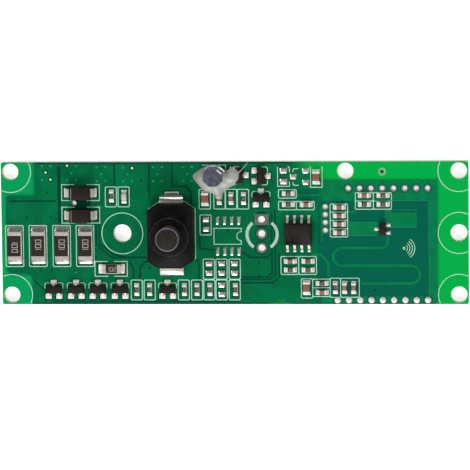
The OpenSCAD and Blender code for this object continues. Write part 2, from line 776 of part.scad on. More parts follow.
// Outline of a drop, as shares of its radius and height
drop_profile = [[1, 0], [0.93, 0.4], [0.72, 0.75], [0.4, 0.94]];
drop_sides = 24;
module glue_drop(r, h) hull() for (p = drop_profile) translate([0, 0, p[1] * h])
    cylinder(r = r * p[0], h = eps, $fn = drop_sides);
glue_gap = 0.05;
module glue_room(l, w) translate([-l / 2 - glue_gap, -w / 2 - glue_gap, -eps])
    cube([l + 2 * glue_gap, w + 2 * glue_gap, drum_h]);
module hot_glue() color([0.85, 0.87, 0.86, 0.6]) difference() {
    seat([inductor_place]) for (d = glue_drops) translate([d[0], d[1], 0]) glue_drop(d[2], d[3]);
    seat([inductor_place]) rotate(drum_turn) translate([0, 0, -eps])
        cylinder(r = drum_r / cos(drum_turn), h = 2 * drum_h, $fn = 8);
    seat([glued_capacitor_place])
        glue_room(chip_0603_cap[0] + 2 * fillet_reach, chip_0603_cap[1] + fillet_overhang);
    seat([glued_transistor_place])
        glue_room(max(sot_len, sot_pitch + sot_pad_w), 2 * (sot_reach + sot_toe));
}

// Switch: an alternate-action push button, drawn about its own centre with the board's face at zero

switch_place = [left(30.5), 0, 0];
slot_gap = 0.2;
slot_pad_w = 0.22;
bore_gap = sw_slide_gap;
sw_base_h = sw_h * sw_base_share;
sw_travel = sw_h * sw_travel_share;
sw_top = sw_h + sw_collar_h;
sw_flange_r = sw_chamber_r - sw_flange_gap;
sw_flange_top = sw_top - sw_lip_t - sw_slide_gap;
sw_flange_low = sw_flange_top - sw_flange_t;
tooth_gap = 0.03;
contact_gap = 0.06;
contact_low = sw_base_h + sw_travel + contact_gap;
rotor_low = contact_low + sw_contact_t;
rotor_top = sw_flange_low - tooth_gap - sw_tooth_h;
rotor_roof_t = 0.2;
spring_gap = 0.15;
spring_room_r = spring_r + spring_gap;
spring_foot = 0.5;
spring_head = rotor_top - rotor_roof_t;
tooth_inset = 0.25;
tooth_ring_r = sw_stem_r - tooth_inset;
tooth_w = 1.25;
tooth_root = 0.1;
tooth_sink = 0.03;
tooth_step = 0.05;
rib_w = 0.5;
rib_depth = 0.35;
rib_gap = 0.08;

module sw_outline() polygon([
    [-sw_end_flat / 2, -sw_len / 2], [sw_end_flat / 2, -sw_len / 2],
    [sw_w / 2, sw_corner_cut - sw_len / 2], [sw_w / 2, sw_len / 2 - sw_corner_cut],
    [sw_end_flat / 2, sw_len / 2], [-sw_end_flat / 2, sw_len / 2],
    [-sw_w / 2, sw_len / 2 - sw_corner_cut], [-sw_w / 2, sw_corner_cut - sw_len / 2]
]);

// Terminal at the +Y end: a pad under the contact ring, a wide shoulder bent down and a leg into the board
terminal_inner = 1.75;
terminal_bend_r = 1;
terminal_bend_steps = 6;
shoulder_r = 0.9;
shoulder_low = 0.45;
shoulder_steps = 6;
leg_y = sw_len / 2 + terminal_reach;
bend_centre = [leg_y - terminal_bend_r, sw_base_h - terminal_bend_r];
module terminal_sheet() polygon(concat(
    [[leg_y - terminal_t, -board_t], [leg_y, -board_t]],
    arc(bend_centre, terminal_bend_r, 0, 90, terminal_bend_steps),
    [[terminal_inner, sw_base_h], [terminal_inner, sw_base_h - terminal_t]],
    arc(bend_centre, terminal_bend_r - terminal_t, 90, 0, terminal_bend_steps)
));
module terminal_outline() polygon(concat(
    [[-terminal_leg_w / 2, -board_t], [terminal_leg_w / 2, -board_t], [terminal_leg_w / 2, shoulder_low]],
    arc([terminal_w / 2 - shoulder_r, shoulder_low + shoulder_r], shoulder_r, -90, 0, shoulder_steps),
    [[terminal_w / 2, sw_base_h], [-terminal_w / 2, sw_base_h]],
    arc([shoulder_r - terminal_w / 2, shoulder_low + shoulder_r], shoulder_r, 180, 270, shoulder_steps),
    [[-terminal_leg_w / 2, shoulder_low]]
));
module terminal_shape() intersection() {
    rotate(90) across(terminal_w) terminal_sheet();
    across(3 * leg_y) terminal_outline();
}
module both_terminals() {
    children();
    rotate(180) children();
}
module switch_slots() translate([switch_place[0], switch_place[1], 0]) both_terminals()
    translate([0, leg_y - terminal_t / 2, 0]) children();
module slot_block(grow, h) translate([-terminal_leg_w / 2 - grow, -terminal_t / 2 - grow, 0])
    cube([terminal_leg_w + 2 * grow, terminal_t + 2 * grow, h]);
module slot_room() {
    translate([0, 0, -eps]) slot_block(slot_gap + plate_t, board_t + 2 * eps);
    translate([0, 0, -eps]) slot_block(slot_gap + plate_t + slot_pad_w, plate_t + eps);
}

module switch_terminals() color("silver") seat([switch_place]) both_terminals() terminal_shape();

module switch_slot_plating() color("silver") switch_slots() difference() {
    union() {
        slot_block(slot_gap + plate_t, board_t);
        slot_block(slot_gap + plate_t + slot_pad_w, plate_t);
        translate([0, 0, board_t]) slot_block(slot_gap + plate_t + slot_pad_w, plate_t);
    }
    translate([0, 0, -eps]) slot_block(slot_gap, board_t + plate_t + 2 * eps);
}

slot_solder_h = 0.2;
module switch_solder() color("silver") switch_slots() difference() {
    union() {
        slot_block(slot_gap, board_t + plate_t);
        translate([0, 0, board_t + plate_t]) slot_block(slot_gap + slot_pad_w / 2, slot_solder_h);
    }
    translate([0, 0, -eps]) slot_block(0, board_t + sw_base_h);
}

base_stand = 0.1;
module switch_base() color([0.1, 0.1, 0.1]) seat([switch_place]) difference() {
    linear_extrude(sw_base_h) sw_outline();
    both_terminals() terminal_shape();
    translate([0, 0, spring_foot]) cylinder(r = spring_room_r, h = sw_base_h);
}

module switch_housing() color([0.12, 0.12, 0.12]) seat([switch_place]) difference() {
    union() {
        translate([0, 0, sw_base_h]) linear_extrude(sw_h - sw_base_h) sw_outline();
        translate([0, 0, sw_h]) cylinder(r = sw_collar_r, h = sw_collar_h);
    }
    difference() {
        translate([0, 0, sw_base_h - eps]) cylinder(r = sw_chamber_r, h = sw_top - sw_lip_t - sw_base_h + eps);
        for (i = [0:sw_ribs - 1]) rotate(360 * i / sw_ribs)
            translate([sw_flange_r - rib_depth + rib_gap, -rib_w / 2, sw_base_h])
            cube([sw_chamber_r, rib_w, sw_h]);
    }
    translate([0, 0, sw_h]) cylinder(r = sw_stem_r + bore_gap, h = sw_collar_h + eps);
}

// Notches that slide on the chamber's ribs
module rib_notches(z, h) for (i = [0:sw_ribs - 1]) rotate(360 * i / sw_ribs)
    translate([sw_flange_r - rib_depth, -rib_w / 2 - rib_gap, z - eps])
    cube([sw_chamber_r, rib_w + 2 * rib_gap, h + 2 * eps]);

// Ring of saw teeth on the rotor; turned over, the same profile makes the button's teeth
module saw_ring(points, z) intersection() {
    translate([0, 0, z - sw_tooth_h]) difference() {
        cylinder(r = sw_flange_r - tooth_step, h = 3 * sw_tooth_h);
        translate([0, 0, -eps]) cylinder(r = tooth_ring_r, h = 4 * sw_tooth_h);
    }
    for (i = [0:sw_teeth - 1]) rotate(360 * i / sw_teeth) translate([0, 0, z])
        rotate([90, 0, 90]) linear_extrude(sw_chamber_r) polygon(points);
}

button_edge = 0.3;
module switch_button() color([0.16, 0.15, 0.15]) seat([switch_place]) difference() {
    union() {
        rotate_extrude() polygon(concat(
            [[0, sw_flange_low], [sw_flange_r, sw_flange_low], [sw_flange_r, sw_flange_top],
                [sw_stem_r, sw_flange_top]],
            arc([sw_stem_r - button_edge, sw_top + sw_button_h - button_edge], button_edge, 0, 90, 4),
            [[0, sw_top + sw_button_h]]
        ));
        saw_ring([
            [-tooth_w / 2, tooth_sink], [-tooth_w / 2, tooth_root],
            [tooth_w / 2, tooth_root], [tooth_w / 2, -sw_tooth_h]
        ], sw_flange_low);
    }
    rib_notches(sw_flange_low - sw_tooth_h, sw_flange_t + sw_tooth_h);
}

module switch_rotor() color("ivory") seat([switch_place]) difference() {
    union() {
        translate([0, 0, rotor_low]) cylinder(r = sw_flange_r, h = rotor_top - rotor_low);
        saw_ring([
            [-tooth_w / 2, -tooth_root], [tooth_w / 2, -tooth_root],
            [tooth_w / 2, -tooth_sink], [-tooth_w / 2, sw_tooth_h]
        ], rotor_top);
    }
    translate([0, 0, rotor_low - eps]) cylinder(r = spring_room_r, h = spring_head - rotor_low + eps);
    rib_notches(rotor_low, rotor_top + sw_tooth_h - rotor_low);
}

module switch_contact() color("gold") seat([switch_place]) difference() {
    translate([0, 0, contact_low]) cylinder(r = sw_flange_r - rib_depth, h = sw_contact_t);
    translate([0, 0, contact_low - eps]) cylinder(r = spring_room_r, h = sw_contact_t + 2 * eps);
}

// Coil spring between the base's pocket and the rotor, swept along a helix
spring_steps = 14;
wire_sides = 8;
module switch_spring() {
    rings = spring_turns * spring_steps;
    low = spring_foot + spring_wire / 2;
    high = spring_head - spring_wire / 2;
    coil_r = spring_r - spring_wire / 2;
    points = [for (i = [0:rings]) let (a = 360 * i / spring_steps, z = low + (high - low) * i / rings)
        for (k = [0:wire_sides - 1]) let (b = 360 * k / wire_sides, r = coil_r + spring_wire / 2 * cos(b))
            [r * cos(a), r * sin(a), z + spring_wire / 2 * sin(b)]];
    walls = [for (i = [0:rings - 1], k = [0:wire_sides - 1])
        let (m = (k + 1) % wire_sides, p = i * wire_sides, q = p + wire_sides)
        [p + k, q + k, q + m, p + m]];
    ends = [[for (k = [0:wire_sides - 1]) k], [for (k = [wire_sides - 1:-1:0]) rings * wire_sides + k]];
    color("silver") seat([switch_place]) polyhedron(points, concat(walls, ends));
}

circuit_board();
via_rings();
sensor_barrels();
header_barrels();
header_solder();
programming_barrels();
antenna_via();
antenna_line();
resonator_patch();
feed_strip();
bare_chip_pads();
bare_driver_pads();
bare_transistor_pads();
current_resistor_bodies();
current_resistor_ends();
shunt_resistor_body();
shunt_resistor_ends();
small_resistor_bodies();
small_resistor_ends();
small_capacitor_bodies();
small_capacitor_ends();
large_capacitor_bodies();
large_capacitor_ends();
chip_solder();
indicator_base();
indicator_lens();
indicator_ends();
diode_bodies();
diode_leads();
transistor_bodies();
transistor_leads();
controller_body();
controller_leads();
radar_transistor_body();
radar_transistor_leads();
lead_solder();
inductor_core();
inductor_winding();
inductor_terminals();
hot_glue();
switch_base();
switch_terminals();
switch_slot_plating();
switch_solder();
switch_housing();
switch_button();
switch_rotor();
switch_contact();
switch_spring();
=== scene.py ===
"""Dresses the lamp control board: its finishes, printed layers, solder, glue, marks, studio and camera.

Sizes in the classes are millimetres in the board's own frame: the origin lies under the board's centre,
+X runs to the radar end and +Z out of the component side. Meshes are made in metres.
"""

import logging
import math
from dataclasses import dataclass, field
from enum import Enum

import bmesh
import bpy
from mathutils import Matrix, Vector, noise
from mathutils.geometry import delaunay_2d_cdt


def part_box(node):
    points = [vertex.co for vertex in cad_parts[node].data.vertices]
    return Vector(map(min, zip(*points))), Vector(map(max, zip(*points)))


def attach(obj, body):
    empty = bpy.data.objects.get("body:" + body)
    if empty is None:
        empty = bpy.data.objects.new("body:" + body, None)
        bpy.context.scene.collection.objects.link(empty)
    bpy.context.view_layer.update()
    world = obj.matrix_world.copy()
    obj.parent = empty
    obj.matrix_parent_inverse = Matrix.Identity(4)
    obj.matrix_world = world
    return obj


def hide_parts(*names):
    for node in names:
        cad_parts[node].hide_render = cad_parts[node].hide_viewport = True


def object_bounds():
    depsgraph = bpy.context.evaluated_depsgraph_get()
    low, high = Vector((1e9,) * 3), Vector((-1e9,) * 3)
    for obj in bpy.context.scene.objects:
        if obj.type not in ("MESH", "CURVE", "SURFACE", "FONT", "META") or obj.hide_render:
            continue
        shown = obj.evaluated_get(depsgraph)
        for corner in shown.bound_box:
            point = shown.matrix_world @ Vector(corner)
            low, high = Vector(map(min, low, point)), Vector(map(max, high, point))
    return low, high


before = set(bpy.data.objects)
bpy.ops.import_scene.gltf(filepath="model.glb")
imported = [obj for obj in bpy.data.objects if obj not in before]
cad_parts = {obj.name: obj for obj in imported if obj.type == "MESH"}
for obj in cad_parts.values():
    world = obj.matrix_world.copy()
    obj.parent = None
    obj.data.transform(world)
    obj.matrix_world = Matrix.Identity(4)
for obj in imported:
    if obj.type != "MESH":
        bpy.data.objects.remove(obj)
CAD_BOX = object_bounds()

Point = tuple[float, float]
Outline = list[Point]
Colour = tuple[float, float, float]

LOG = logging.getLogger("board")
MM = 0.001
BOARD_LOW, BOARD_HIGH = (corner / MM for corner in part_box("circuit_board"))
BOARD_LEN = BOARD_HIGH.x - BOARD_LOW.x
BOARD_W = BOARD_HIGH.y - BOARD_LOW.y
FACE = BOARD_HIGH.z


def left(distance: float) -> float:
    """Returns X at a distance from the board's left edge."""
    return BOARD_LOW.x + distance


def right(distance: float) -> float:
    """Returns X at a distance from the board's right edge."""
    return BOARD_HIGH.x - distance


def front(distance: float) -> float:
    """Returns Y at a distance from the board's front edge."""
    return BOARD_LOW.y + distance


def back(distance: float) -> float:
    """Returns Y at a distance from the board's back edge."""
    return BOARD_HIGH.y - distance


def srgb(red: int, green: int, blue: int) -> Colour:
    """Converts a screen colour to the linear values that shaders use.

    Args:
        red: Red, 0 to 255.
        green: Green, 0 to 255.
        blue: Blue, 0 to 255.

    Returns:
        The linear colour.
    """
    shares = (channel / 255 for channel in (red, green, blue))
    return tuple(s / 12.92 if s <= 0.04045 else ((s + 0.055) / 1.055) ** 2.4 for s in shares)


# Shaders


class Tree:
    """A material's node tree, with short calls that add and join nodes."""

    def __init__(self, name: str) -> None:
        """Starts an empty material.

        Args:
            name: The material's name.
        """
        self.material = bpy.data.materials.new(name)
        self.material.use_nodes = True
        self.nodes = self.material.node_tree.nodes
        self.nodes.clear()
        self.output = self.nodes.new("ShaderNodeOutputMaterial")

    def link(self, source: bpy.types.NodeSocket, target: bpy.types.NodeSocket) -> None:
        """Joins two sockets."""
        self.material.node_tree.links.new(source, target)

    def node(self, kind: str, inputs: dict | None = None, **settings: object) -> bpy.types.Node:
        """Adds a node.

        Args:
            kind: The node's type, without its ShaderNode prefix.
            inputs: Values or sockets for its inputs, by name or index.
            settings: Attributes to set on the node.

        Returns:
            The node.
        """
        made = self.nodes.new("ShaderNode" + kind)
        for key, value in settings.items():
            setattr(made, key, value)
        for key, value in (inputs or {}).items():
            if isinstance(value, bpy.types.NodeSocket):
                self.link(value, made.inputs[key])
            else:
                made.inputs[key].default_value = value
        return made

    def math(self, operation: str, first: object, second: object = 0.0) -> bpy.types.NodeSocket:
        """Returns the result of a math node on two values or sockets."""
        return self.node("Math", {0: first, 1: second}, operation=operation).outputs[0]

    def place(self) -> bpy.types.NodeSocket:
        """Returns the object coordinates, which are metres in the board's frame."""
        return self.node("TexCoord").outputs["Object"]

    def noise(self, scale: float, detail: float = 3.0) -> bpy.types.NodeSocket:
        """Returns a noise between 0 and 1 with the given cells per metre."""
        inputs = {"Vector": self.place(), "Scale": scale, "Detail": detail}
        return self.node("TexNoise", inputs).outputs[0]

    def span(self, value: object, low: float, high: float, to_low: float, to_high: float) -> bpy.types.NodeSocket:
        """Returns a value carried from one range to another with soft ends."""
        inputs = {0: value, 1: low, 2: high, 3: to_low, 4: to_high}
        return self.node("MapRange", inputs, interpolation_type="SMOOTHSTEP").outputs[0]

    def mix(self, factor: object, first: object, second: object) -> bpy.types.NodeSocket:
        """Returns the mix of two colours, given as linear colours or sockets."""
        colours = [c if isinstance(c, bpy.types.NodeSocket) else (*c, 1.0) for c in (first, second)]
        inputs = {0: factor, 6: colours[0], 7: colours[1]}
        return self.node("Mix", inputs, data_type="RGBA").outputs[2]

    def bump(self, height: bpy.types.NodeSocket, strength: float, depth: float) -> bpy.types.NodeSocket:
        """Returns a normal for a relief of the given depth in millimetres."""
        inputs = {"Height": height, "Strength": strength, "Distance": depth * MM}
        return self.node("Bump", inputs).outputs[0]


@dataclass(frozen=True)
class Finish:
    """A finish of two mottled colours with a grain in its gloss and relief."""

    name: str
    colour: Colour
    shade: Colour
    mottle: float = 900.0
    rough: tuple[float, float] = (0.35, 0.5)
    metal: float = 0.0
    grain: float = 9000.0
    relief: float = 0.01
    strength: float = 0.4
    coat: float = 0.0
    specular: float = 0.5

    def material(self) -> bpy.types.Material:
        """Returns the finish's material, made on first use."""
        return bpy.data.materials.get(f"{self.name}_finish") or self.make()

    def make(self) -> bpy.types.Material:
        """Builds the material.

        Returns:
            The new material.
        """
        tree = Tree(f"{self.name}_finish")
        shader = tree.node("BsdfPrincipled")
        shader.inputs["Metallic"].default_value = self.metal
        shader.inputs["Coat Weight"].default_value = self.coat
        shader.inputs["Specular IOR Level"].default_value = self.specular
        self.dress(tree, shader)
        tree.link(shader.outputs[0], tree.output.inputs[0])
        return tree.material

    def dress(self, tree: Tree, shader: bpy.types.Node) -> None:
        """Links colour, roughness and relief to the shader.

        Args:
            tree: The material's tree.
            shader: Its principled shader.
        """
        fine = tree.noise(self.grain)
        tree.link(self.tint(tree), shader.inputs["Base Color"])
        tree.link(tree.span(fine, 0.3, 0.7, *self.rough), shader.inputs["Roughness"])
        tree.link(tree.bump(self.height(tree, fine), self.strength, self.relief), shader.inputs["Normal"])

    def tint(self, tree: Tree) -> bpy.types.NodeSocket:
        """Returns the colour: the two colours mixed by a slow noise."""
        return tree.mix(tree.span(tree.noise(self.mottle), 0.35, 0.65, 0.0, 1.0), self.colour, self.shade)

    def height(self, tree: Tree, fine: bpy.types.NodeSocket) -> bpy.types.NodeSocket:
        """Returns the height that the relief follows, here the grain."""
        return fine

    def put(self, piece: bpy.types.Object) -> bpy.types.Object:
        """Puts the finish on a piece and returns the piece."""
        piece.data.materials.clear()
        piece.data.materials.append(self.material())
        return piece


@dataclass(frozen=True)
class Laminate(Finish):
    """Masked glass laminate: bright where no copper backs it, dark over the back plane, fibrous at its edges, where the
    pale fibre colour is lightened further as a painted highlight.
    """

    bare: Colour = srgb(0, 183, 74)
    bare_left: Colour = srgb(2, 164, 92)
    backed: Colour = srgb(0, 72, 55)
    radar: Colour = srgb(0, 104, 79)
    # The cut edge's pale fibre colour, raised towards white as a painted highlight on the side faces.
    edge: Colour = srgb(232, 244, 222)
    soft: float = 0.75
    plane_margin: float = 0.35

    def inside(self, tree: Tree, low: Point, high: Point) -> bpy.types.NodeSocket:
        """Returns 1 inside a rectangle and 0 outside, with soft borders.

        Args:
            tree: The material's tree.
            low: The rectangle's lower left corner.
            high: Its upper right corner.

        Returns:
            The mask.
        """
        axes = tree.node("SeparateXYZ", {0: tree.place()}).outputs
        reaches = []
        for axis, start, end in zip(axes, low, high):
            offset = tree.math("SUBTRACT", axis, (start + end) / 2 * MM)
            reaches.append(tree.math("SUBTRACT", tree.math("ABSOLUTE", offset), (end - start) / 2 * MM))
        distance = tree.math("MAXIMUM", *reaches)
        return tree.span(distance, -self.soft * MM, self.soft * MM, 1.0, 0.0)

    def tint(self, tree: Tree) -> bpy.types.NodeSocket:
        """Returns the colour of each zone, and the weave's pale layers on the edges, lightened as a painted highlight.
        """
        margin = self.plane_margin
        across = tree.node("SeparateXYZ", {0: tree.place()}).outputs[0]
        main = self.inside(tree, (left(1.1), front(margin) - 1), (left(58), back(margin) + 1))
        main = tree.math("MULTIPLY", main, tree.span(across, left(50) * MM, left(56.5) * MM, 1.0, 0.0))
        radar = self.inside(tree, (left(50.5), front(margin) - 1), (right(5.6), back(3.3)))
        corners = tree.math(
            "MAXIMUM",
            self.inside(tree, (left(-3), back(5.9)), (left(6), back(-3))),
            self.inside(tree, (left(-3), front(-3)), (left(5.4), front(5.4))),
        )
        notch = self.inside(tree, (left(47.6), front(-3)), (left(51.4), front(2.3)))
        keep = tree.math("SUBTRACT", 1.0, tree.math("MAXIMUM", corners, tree.math("MULTIPLY", notch, 0.45)))
        plane = tree.math("MULTIPLY", tree.math("MAXIMUM", main, radar), keep)
        zone = tree.mix(radar, self.backed, self.radar)
        mottled = tree.mix(tree.span(tree.noise(self.mottle), 0.3, 0.7, 0.0, 0.12), zone, self.shade)
        bare = tree.mix(tree.span(across, left(4) * MM, left(24) * MM, 0.0, 1.0), self.bare_left, self.bare)
        face = tree.mix(plane, bare, mottled)
        normal = tree.node("SeparateXYZ", {0: tree.node("NewGeometry").outputs["Normal"]}).outputs[2]
        side = tree.span(tree.math("ABSOLUTE", normal), 0.3, 0.7, 1.0, 0.0)
        wave_inputs = {"Vector": tree.place(), "Scale": 1900.0, "Distortion": 2.5}
        layers = tree.node("TexWave", wave_inputs, bands_direction="Z").outputs[1]
        # Side faces get the fibre colour, which carries a painted highlight.
        fibre = tree.mix(tree.span(layers, 0.2, 0.8, 0.0, 0.35), self.edge, self.shade)
        return tree.mix(side, face, fibre)


@dataclass(frozen=True)
class Plated(Finish):
    """Dull plating whose upright hole walls carry a painted highlight, pale as if catching the light from below."""

    # Pale colour of the upright walls: a painted highlight.
    wall_highlight: Colour = srgb(240, 240, 236)

    def tint(self, tree: Tree) -> bpy.types.NodeSocket:
        """Returns the plating's colour, with a painted highlight on the upright walls."""
        normal = tree.node("SeparateXYZ", {0: tree.node("NewGeometry").outputs["Normal"]}).outputs[2]
        side = tree.span(tree.math("ABSOLUTE", normal), 0.4, 0.8, 1.0, 0.0)
        return tree.mix(side, super().tint(tree), self.wall_highlight)


@dataclass(frozen=True)
class Winding(Finish):
    """Enamelled wire laid in close turns."""

    turns_per_metre: float = 1400.0

    def height(self, tree: Tree, fine: bpy.types.NodeSocket) -> bpy.types.NodeSocket:
        """Returns the round backs of the turns."""
        inputs = {"Vector": tree.place(), "Scale": self.turns_per_metre}
        return tree.node("TexWave", inputs, bands_direction="Z").outputs[1]


@dataclass(frozen=True)
class Brushed(Finish):
    """Rolled sheet metal with fine scratches along X."""

    stretch: float = 12.0

    def height(self, tree: Tree, fine: bpy.types.NodeSocket) -> bpy.types.NodeSocket:
        """Returns scratches: a noise drawn out along X."""
        inputs = {"Vector": tree.place(), "Scale": (1.0, self.stretch, self.stretch)}
        drawn = tree.node("Mapping", inputs).outputs[0]
        return tree.node("TexNoise", {"Vector": drawn, "Scale": 1500.0, "Detail": 4.0}).outputs[0]


@dataclass(frozen=True)
class Clear(Finish):
    """A milky clear resin or glue."""

    passing: float = 0.8
    ior: float = 1.46

    def dress(self, tree: Tree, shader: bpy.types.Node) -> None:
        """Adds the light that passes through to the usual links."""
        super().dress(tree, shader)
        shader.inputs["Transmission Weight"].default_value = self.passing
        shader.inputs["IOR"].default_value = self.ior


MASK_GREEN = srgb(0, 120, 72)
MASK_DEEP = srgb(0, 107, 67)
LAMINATE = Laminate(
    "laminate", MASK_GREEN, srgb(0, 84, 62), 500.0, (0.32, 0.45), relief=0.012, strength=0.25, specular=0.05
)
MASKED_COPPER = Finish(
    "masked_copper", MASK_GREEN, MASK_DEEP, 350.0, (0.3, 0.42), relief=0.012, strength=0.3, specular=0.05
)
MASKED_LINE = Finish(
    "masked_line", srgb(0, 133, 80), srgb(0, 124, 75), 500.0, (0.3, 0.42), strength=0.3, specular=0.08
)
TIN = Finish("tin", srgb(226, 214, 208), srgb(210, 198, 193), 1500.0, (0.28, 0.38), 0.55, relief=0.01, strength=0.25)
DULL_TIN = Plated("dull_tin", srgb(117, 129, 117), srgb(104, 117, 106), 1500.0, (0.32, 0.42), 0.55, strength=0.25)
HOLE_TIN = Plated("hole_tin", srgb(112, 134, 118), srgb(100, 121, 106), 1500.0, (0.32, 0.42), 0.4, strength=0.25)
VIA_TIN = Plated("via_tin", srgb(134, 196, 142), srgb(104, 180, 118), 1500.0, (0.35, 0.45), strength=0.25)
# Pale mask colour for the painted highlights along the copper edges under the mask.
MASK_EDGE_HIGHLIGHT = Finish("mask_edge_highlight", srgb(48, 152, 116), srgb(38, 143, 107), 600.0, (0.3, 0.42), specular=0.08)
# Tin lightened to near white and made almost non-metallic: its colour carries a painted sheen of the front light.
PAINTED_SHEEN_TIN = Finish("painted_sheen_tin", srgb(252, 248, 242), srgb(242, 236, 230), 1500.0, (0.22, 0.3), 0.05, strength=0.25)
SOLDER = Finish("solder", srgb(180, 186, 177), srgb(164, 170, 162), 1200.0, (0.2, 0.3), 0.6, 3000.0, 0.015, 0.25)
GLAZE = Finish("resistor_glaze", srgb(42, 35, 33), srgb(50, 42, 40), 2500.0, (0.35, 0.5), relief=0.008, specular=0.2)
CERAMIC = Finish("capacitor_ceramic", srgb(156, 96, 70), srgb(136, 80, 60), 3000.0, (0.4, 0.6), relief=0.015)
SMALL_CERAMIC = Finish("small_ceramic", srgb(168, 118, 104), srgb(146, 98, 88), 3000.0, (0.4, 0.6), relief=0.015)
WHITE_CERAMIC = Finish("white_ceramic", srgb(226, 222, 214), srgb(206, 202, 196), 3000.0, (0.5, 0.7))
RESIN = Clear("indicator_resin", srgb(246, 238, 228), srgb(238, 226, 206), 1800.0, (0.2, 0.35), passing=0.25)
COMPOUND = Finish(
    "moulding_compound", srgb(27, 21, 20), srgb(36, 29, 27), 4000.0, (0.5, 0.7), relief=0.02, specular=0.2
)
FERRITE = Finish("ferrite", srgb(70, 74, 92), srgb(92, 94, 108), 1200.0, (0.12, 0.22), relief=0.02, coat=1.0)
WIRE = Winding("copper_wire", srgb(168, 92, 48), srgb(140, 70, 34), 2000.0, (0.2, 0.35), 0.7, relief=0.08, strength=1.0)
GLUE = Clear(
    "glue", srgb(186, 188, 183), srgb(182, 185, 180), 500.0, (0.12, 0.24), relief=0.03, strength=0.3, passing=0.12
)
THREAD = Finish("glue_thread", srgb(206, 238, 220), srgb(190, 228, 208), 500.0, (0.15, 0.25), coat=0.5)
SWITCH_BLACK = Finish(
    "switch_plastic", srgb(19, 17, 18), srgb(25, 22, 23), 1500.0, (0.38, 0.52), relief=0.015, specular=0.09
)
# Light grey on black plastic: the painted highlight of the switch's rounded top edges.
RIM_HIGHLIGHT = Finish("plastic_rim_highlight", srgb(112, 109, 108), srgb(98, 95, 94), 1500.0, (0.15, 0.25), specular=0.6)
BUTTON_BLACK = Finish(
    "button_plastic", srgb(36, 30, 30), srgb(46, 39, 38), 1800.0, (0.4, 0.55), relief=0.03, specular=0.2
)
WHITE_PLASTIC = Finish("white_plastic", srgb(228, 226, 220), srgb(214, 212, 206), 900.0, (0.35, 0.5))
TERMINAL = Brushed("terminal_metal", srgb(242, 234, 228), srgb(226, 218, 212), 1500.0, (0.26, 0.34), 0.9, relief=0.001, strength=0.1)
BRASS = Brushed("contact_brass", srgb(214, 180, 104), srgb(190, 152, 82), 1500.0, (0.2, 0.35), 1.0)
SPRING = Finish("spring_steel", srgb(190, 190, 192), srgb(160, 160, 164), 3000.0, (0.2, 0.35), 1.0)
INK = Finish("printed_ink", srgb(196, 246, 222), srgb(176, 234, 206), 1500.0, (0.5, 0.7), relief=0.01)
RING_INK = Finish("ring_ink", srgb(192, 222, 210), srgb(176, 208, 196), 1500.0, (0.5, 0.7), relief=0.01)
VIA_CAP = Finish("via_cap", srgb(52, 156, 116), srgb(28, 136, 96), 2500.0, (0.3, 0.45), specular=0.2)
VIA_DARK = Finish("via_dark", srgb(0, 70, 48), srgb(0, 58, 40), 2500.0, (0.4, 0.5), specular=0.05)
VIA_CORE = Finish("via_core", srgb(74, 44, 34), srgb(52, 34, 28), 2500.0, (0.4, 0.5), specular=0.2)
CODE_INK = Finish("code_ink", srgb(206, 196, 190), srgb(184, 174, 168), 2500.0, (0.5, 0.7))
PAD_TIN = Finish("pad_tin", srgb(214, 208, 202), srgb(198, 192, 187), 1500.0, (0.16, 0.24), 0.75, strength=0.25)
BAND_INK = Finish("band_ink", srgb(140, 130, 126), srgb(116, 106, 102), 2500.0, (0.5, 0.7))

SLOT_FINISHES: dict[str, Finish] = {
    "laminate": LAMINATE,
    "masked_copper": MASKED_LINE,
    "tin": TIN,
    "solder": SOLDER,
    "resistor_glaze": GLAZE,
    "capacitor_ceramic": CERAMIC,
    "white_ceramic": WHITE_CERAMIC,
    "indicator_resin": RESIN,
    "moulding_compound": COMPOUND,
    "ferrite": FERRITE,
    "copper_wire": WIRE,
    "glue": GLUE,
    "switch_plastic": SWITCH_BLACK,
    "button_plastic": BUTTON_BLACK,
    "white_plastic": WHITE_PLASTIC,
    "terminal_metal": TERMINAL,
    "contact_brass": BRASS,
    "spring_steel": SPRING,
}
NODE_FINISHES: dict[str, Finish] = {
    "small_capacitor_bodies": SMALL_CERAMIC,
    "current_resistor_bodies": WHITE_CERAMIC,
    "shunt_resistor_body": WHITE_CERAMIC,
    "small_resistor_bodies": WHITE_CERAMIC,
    "via_rings": MASKED_COPPER,
    "sensor_barrels": DULL_TIN,
    "header_barrels": HOLE_TIN,
    "programming_barrels": HOLE_TIN,
    "antenna_via": VIA_TIN,
    # Chip ends and slot plating take the tin with the painted sheen.
    "small_resistor_ends": PAINTED_SHEEN_TIN,
    "small_capacitor_ends": PAINTED_SHEEN_TIN,
    "large_capacitor_ends": PAINTED_SHEEN_TIN,
    "switch_slot_plating": PAINTED_SHEEN_TIN,
    "switch_solder": DULL_TIN,
}


# Meshes


def mesh_piece(name: str, points: list[Vector], faces: list[tuple[int, ...]], smooth: bool) -> bpy.types.Object:
    """Makes a piece from points in millimetres.

    Args:
        name: The piece's name.
        points: Its points.
        faces: Its faces, as indices of points.
        smooth: Whether its faces are shaded smooth.

    Returns:
        The new object, linked to the scene.
    """
    mesh = bpy.data.meshes.new(name)
    mesh.from_pydata([Vector(p) * MM for p in points], [], faces)
    mesh.polygons.foreach_set("use_smooth", [smooth] * len(mesh.polygons))
    mesh.update()
    piece = bpy.data.objects.new(name, mesh)
    bpy.context.collection.objects.link(piece)
    return piece


def report(piece: bpy.types.Object) -> None:
    """Logs a piece's name and number of faces."""
    LOG.info("%s: %d faces", piece.name, len(piece.data.polygons))


@dataclass
class Island:
    """One separate solid of a CAD node, as its corner points and box in millimetres."""

    points: list[Vector]

    @property
    def low(self) -> Vector:
        """Returns the lowest corner of the box."""
        return Vector(min(p[i] for p in self.points) for i in range(3))

    @property
    def high(self) -> Vector:
        """Returns the highest corner of the box."""
        return Vector(max(p[i] for p in self.points) for i in range(3))

    @property
    def centre(self) -> Vector:
        """Returns the middle of the box."""
        return (self.low + self.high) / 2

    @property
    def size(self) -> Vector:
        """Returns the box's sides."""
        return self.high - self.low


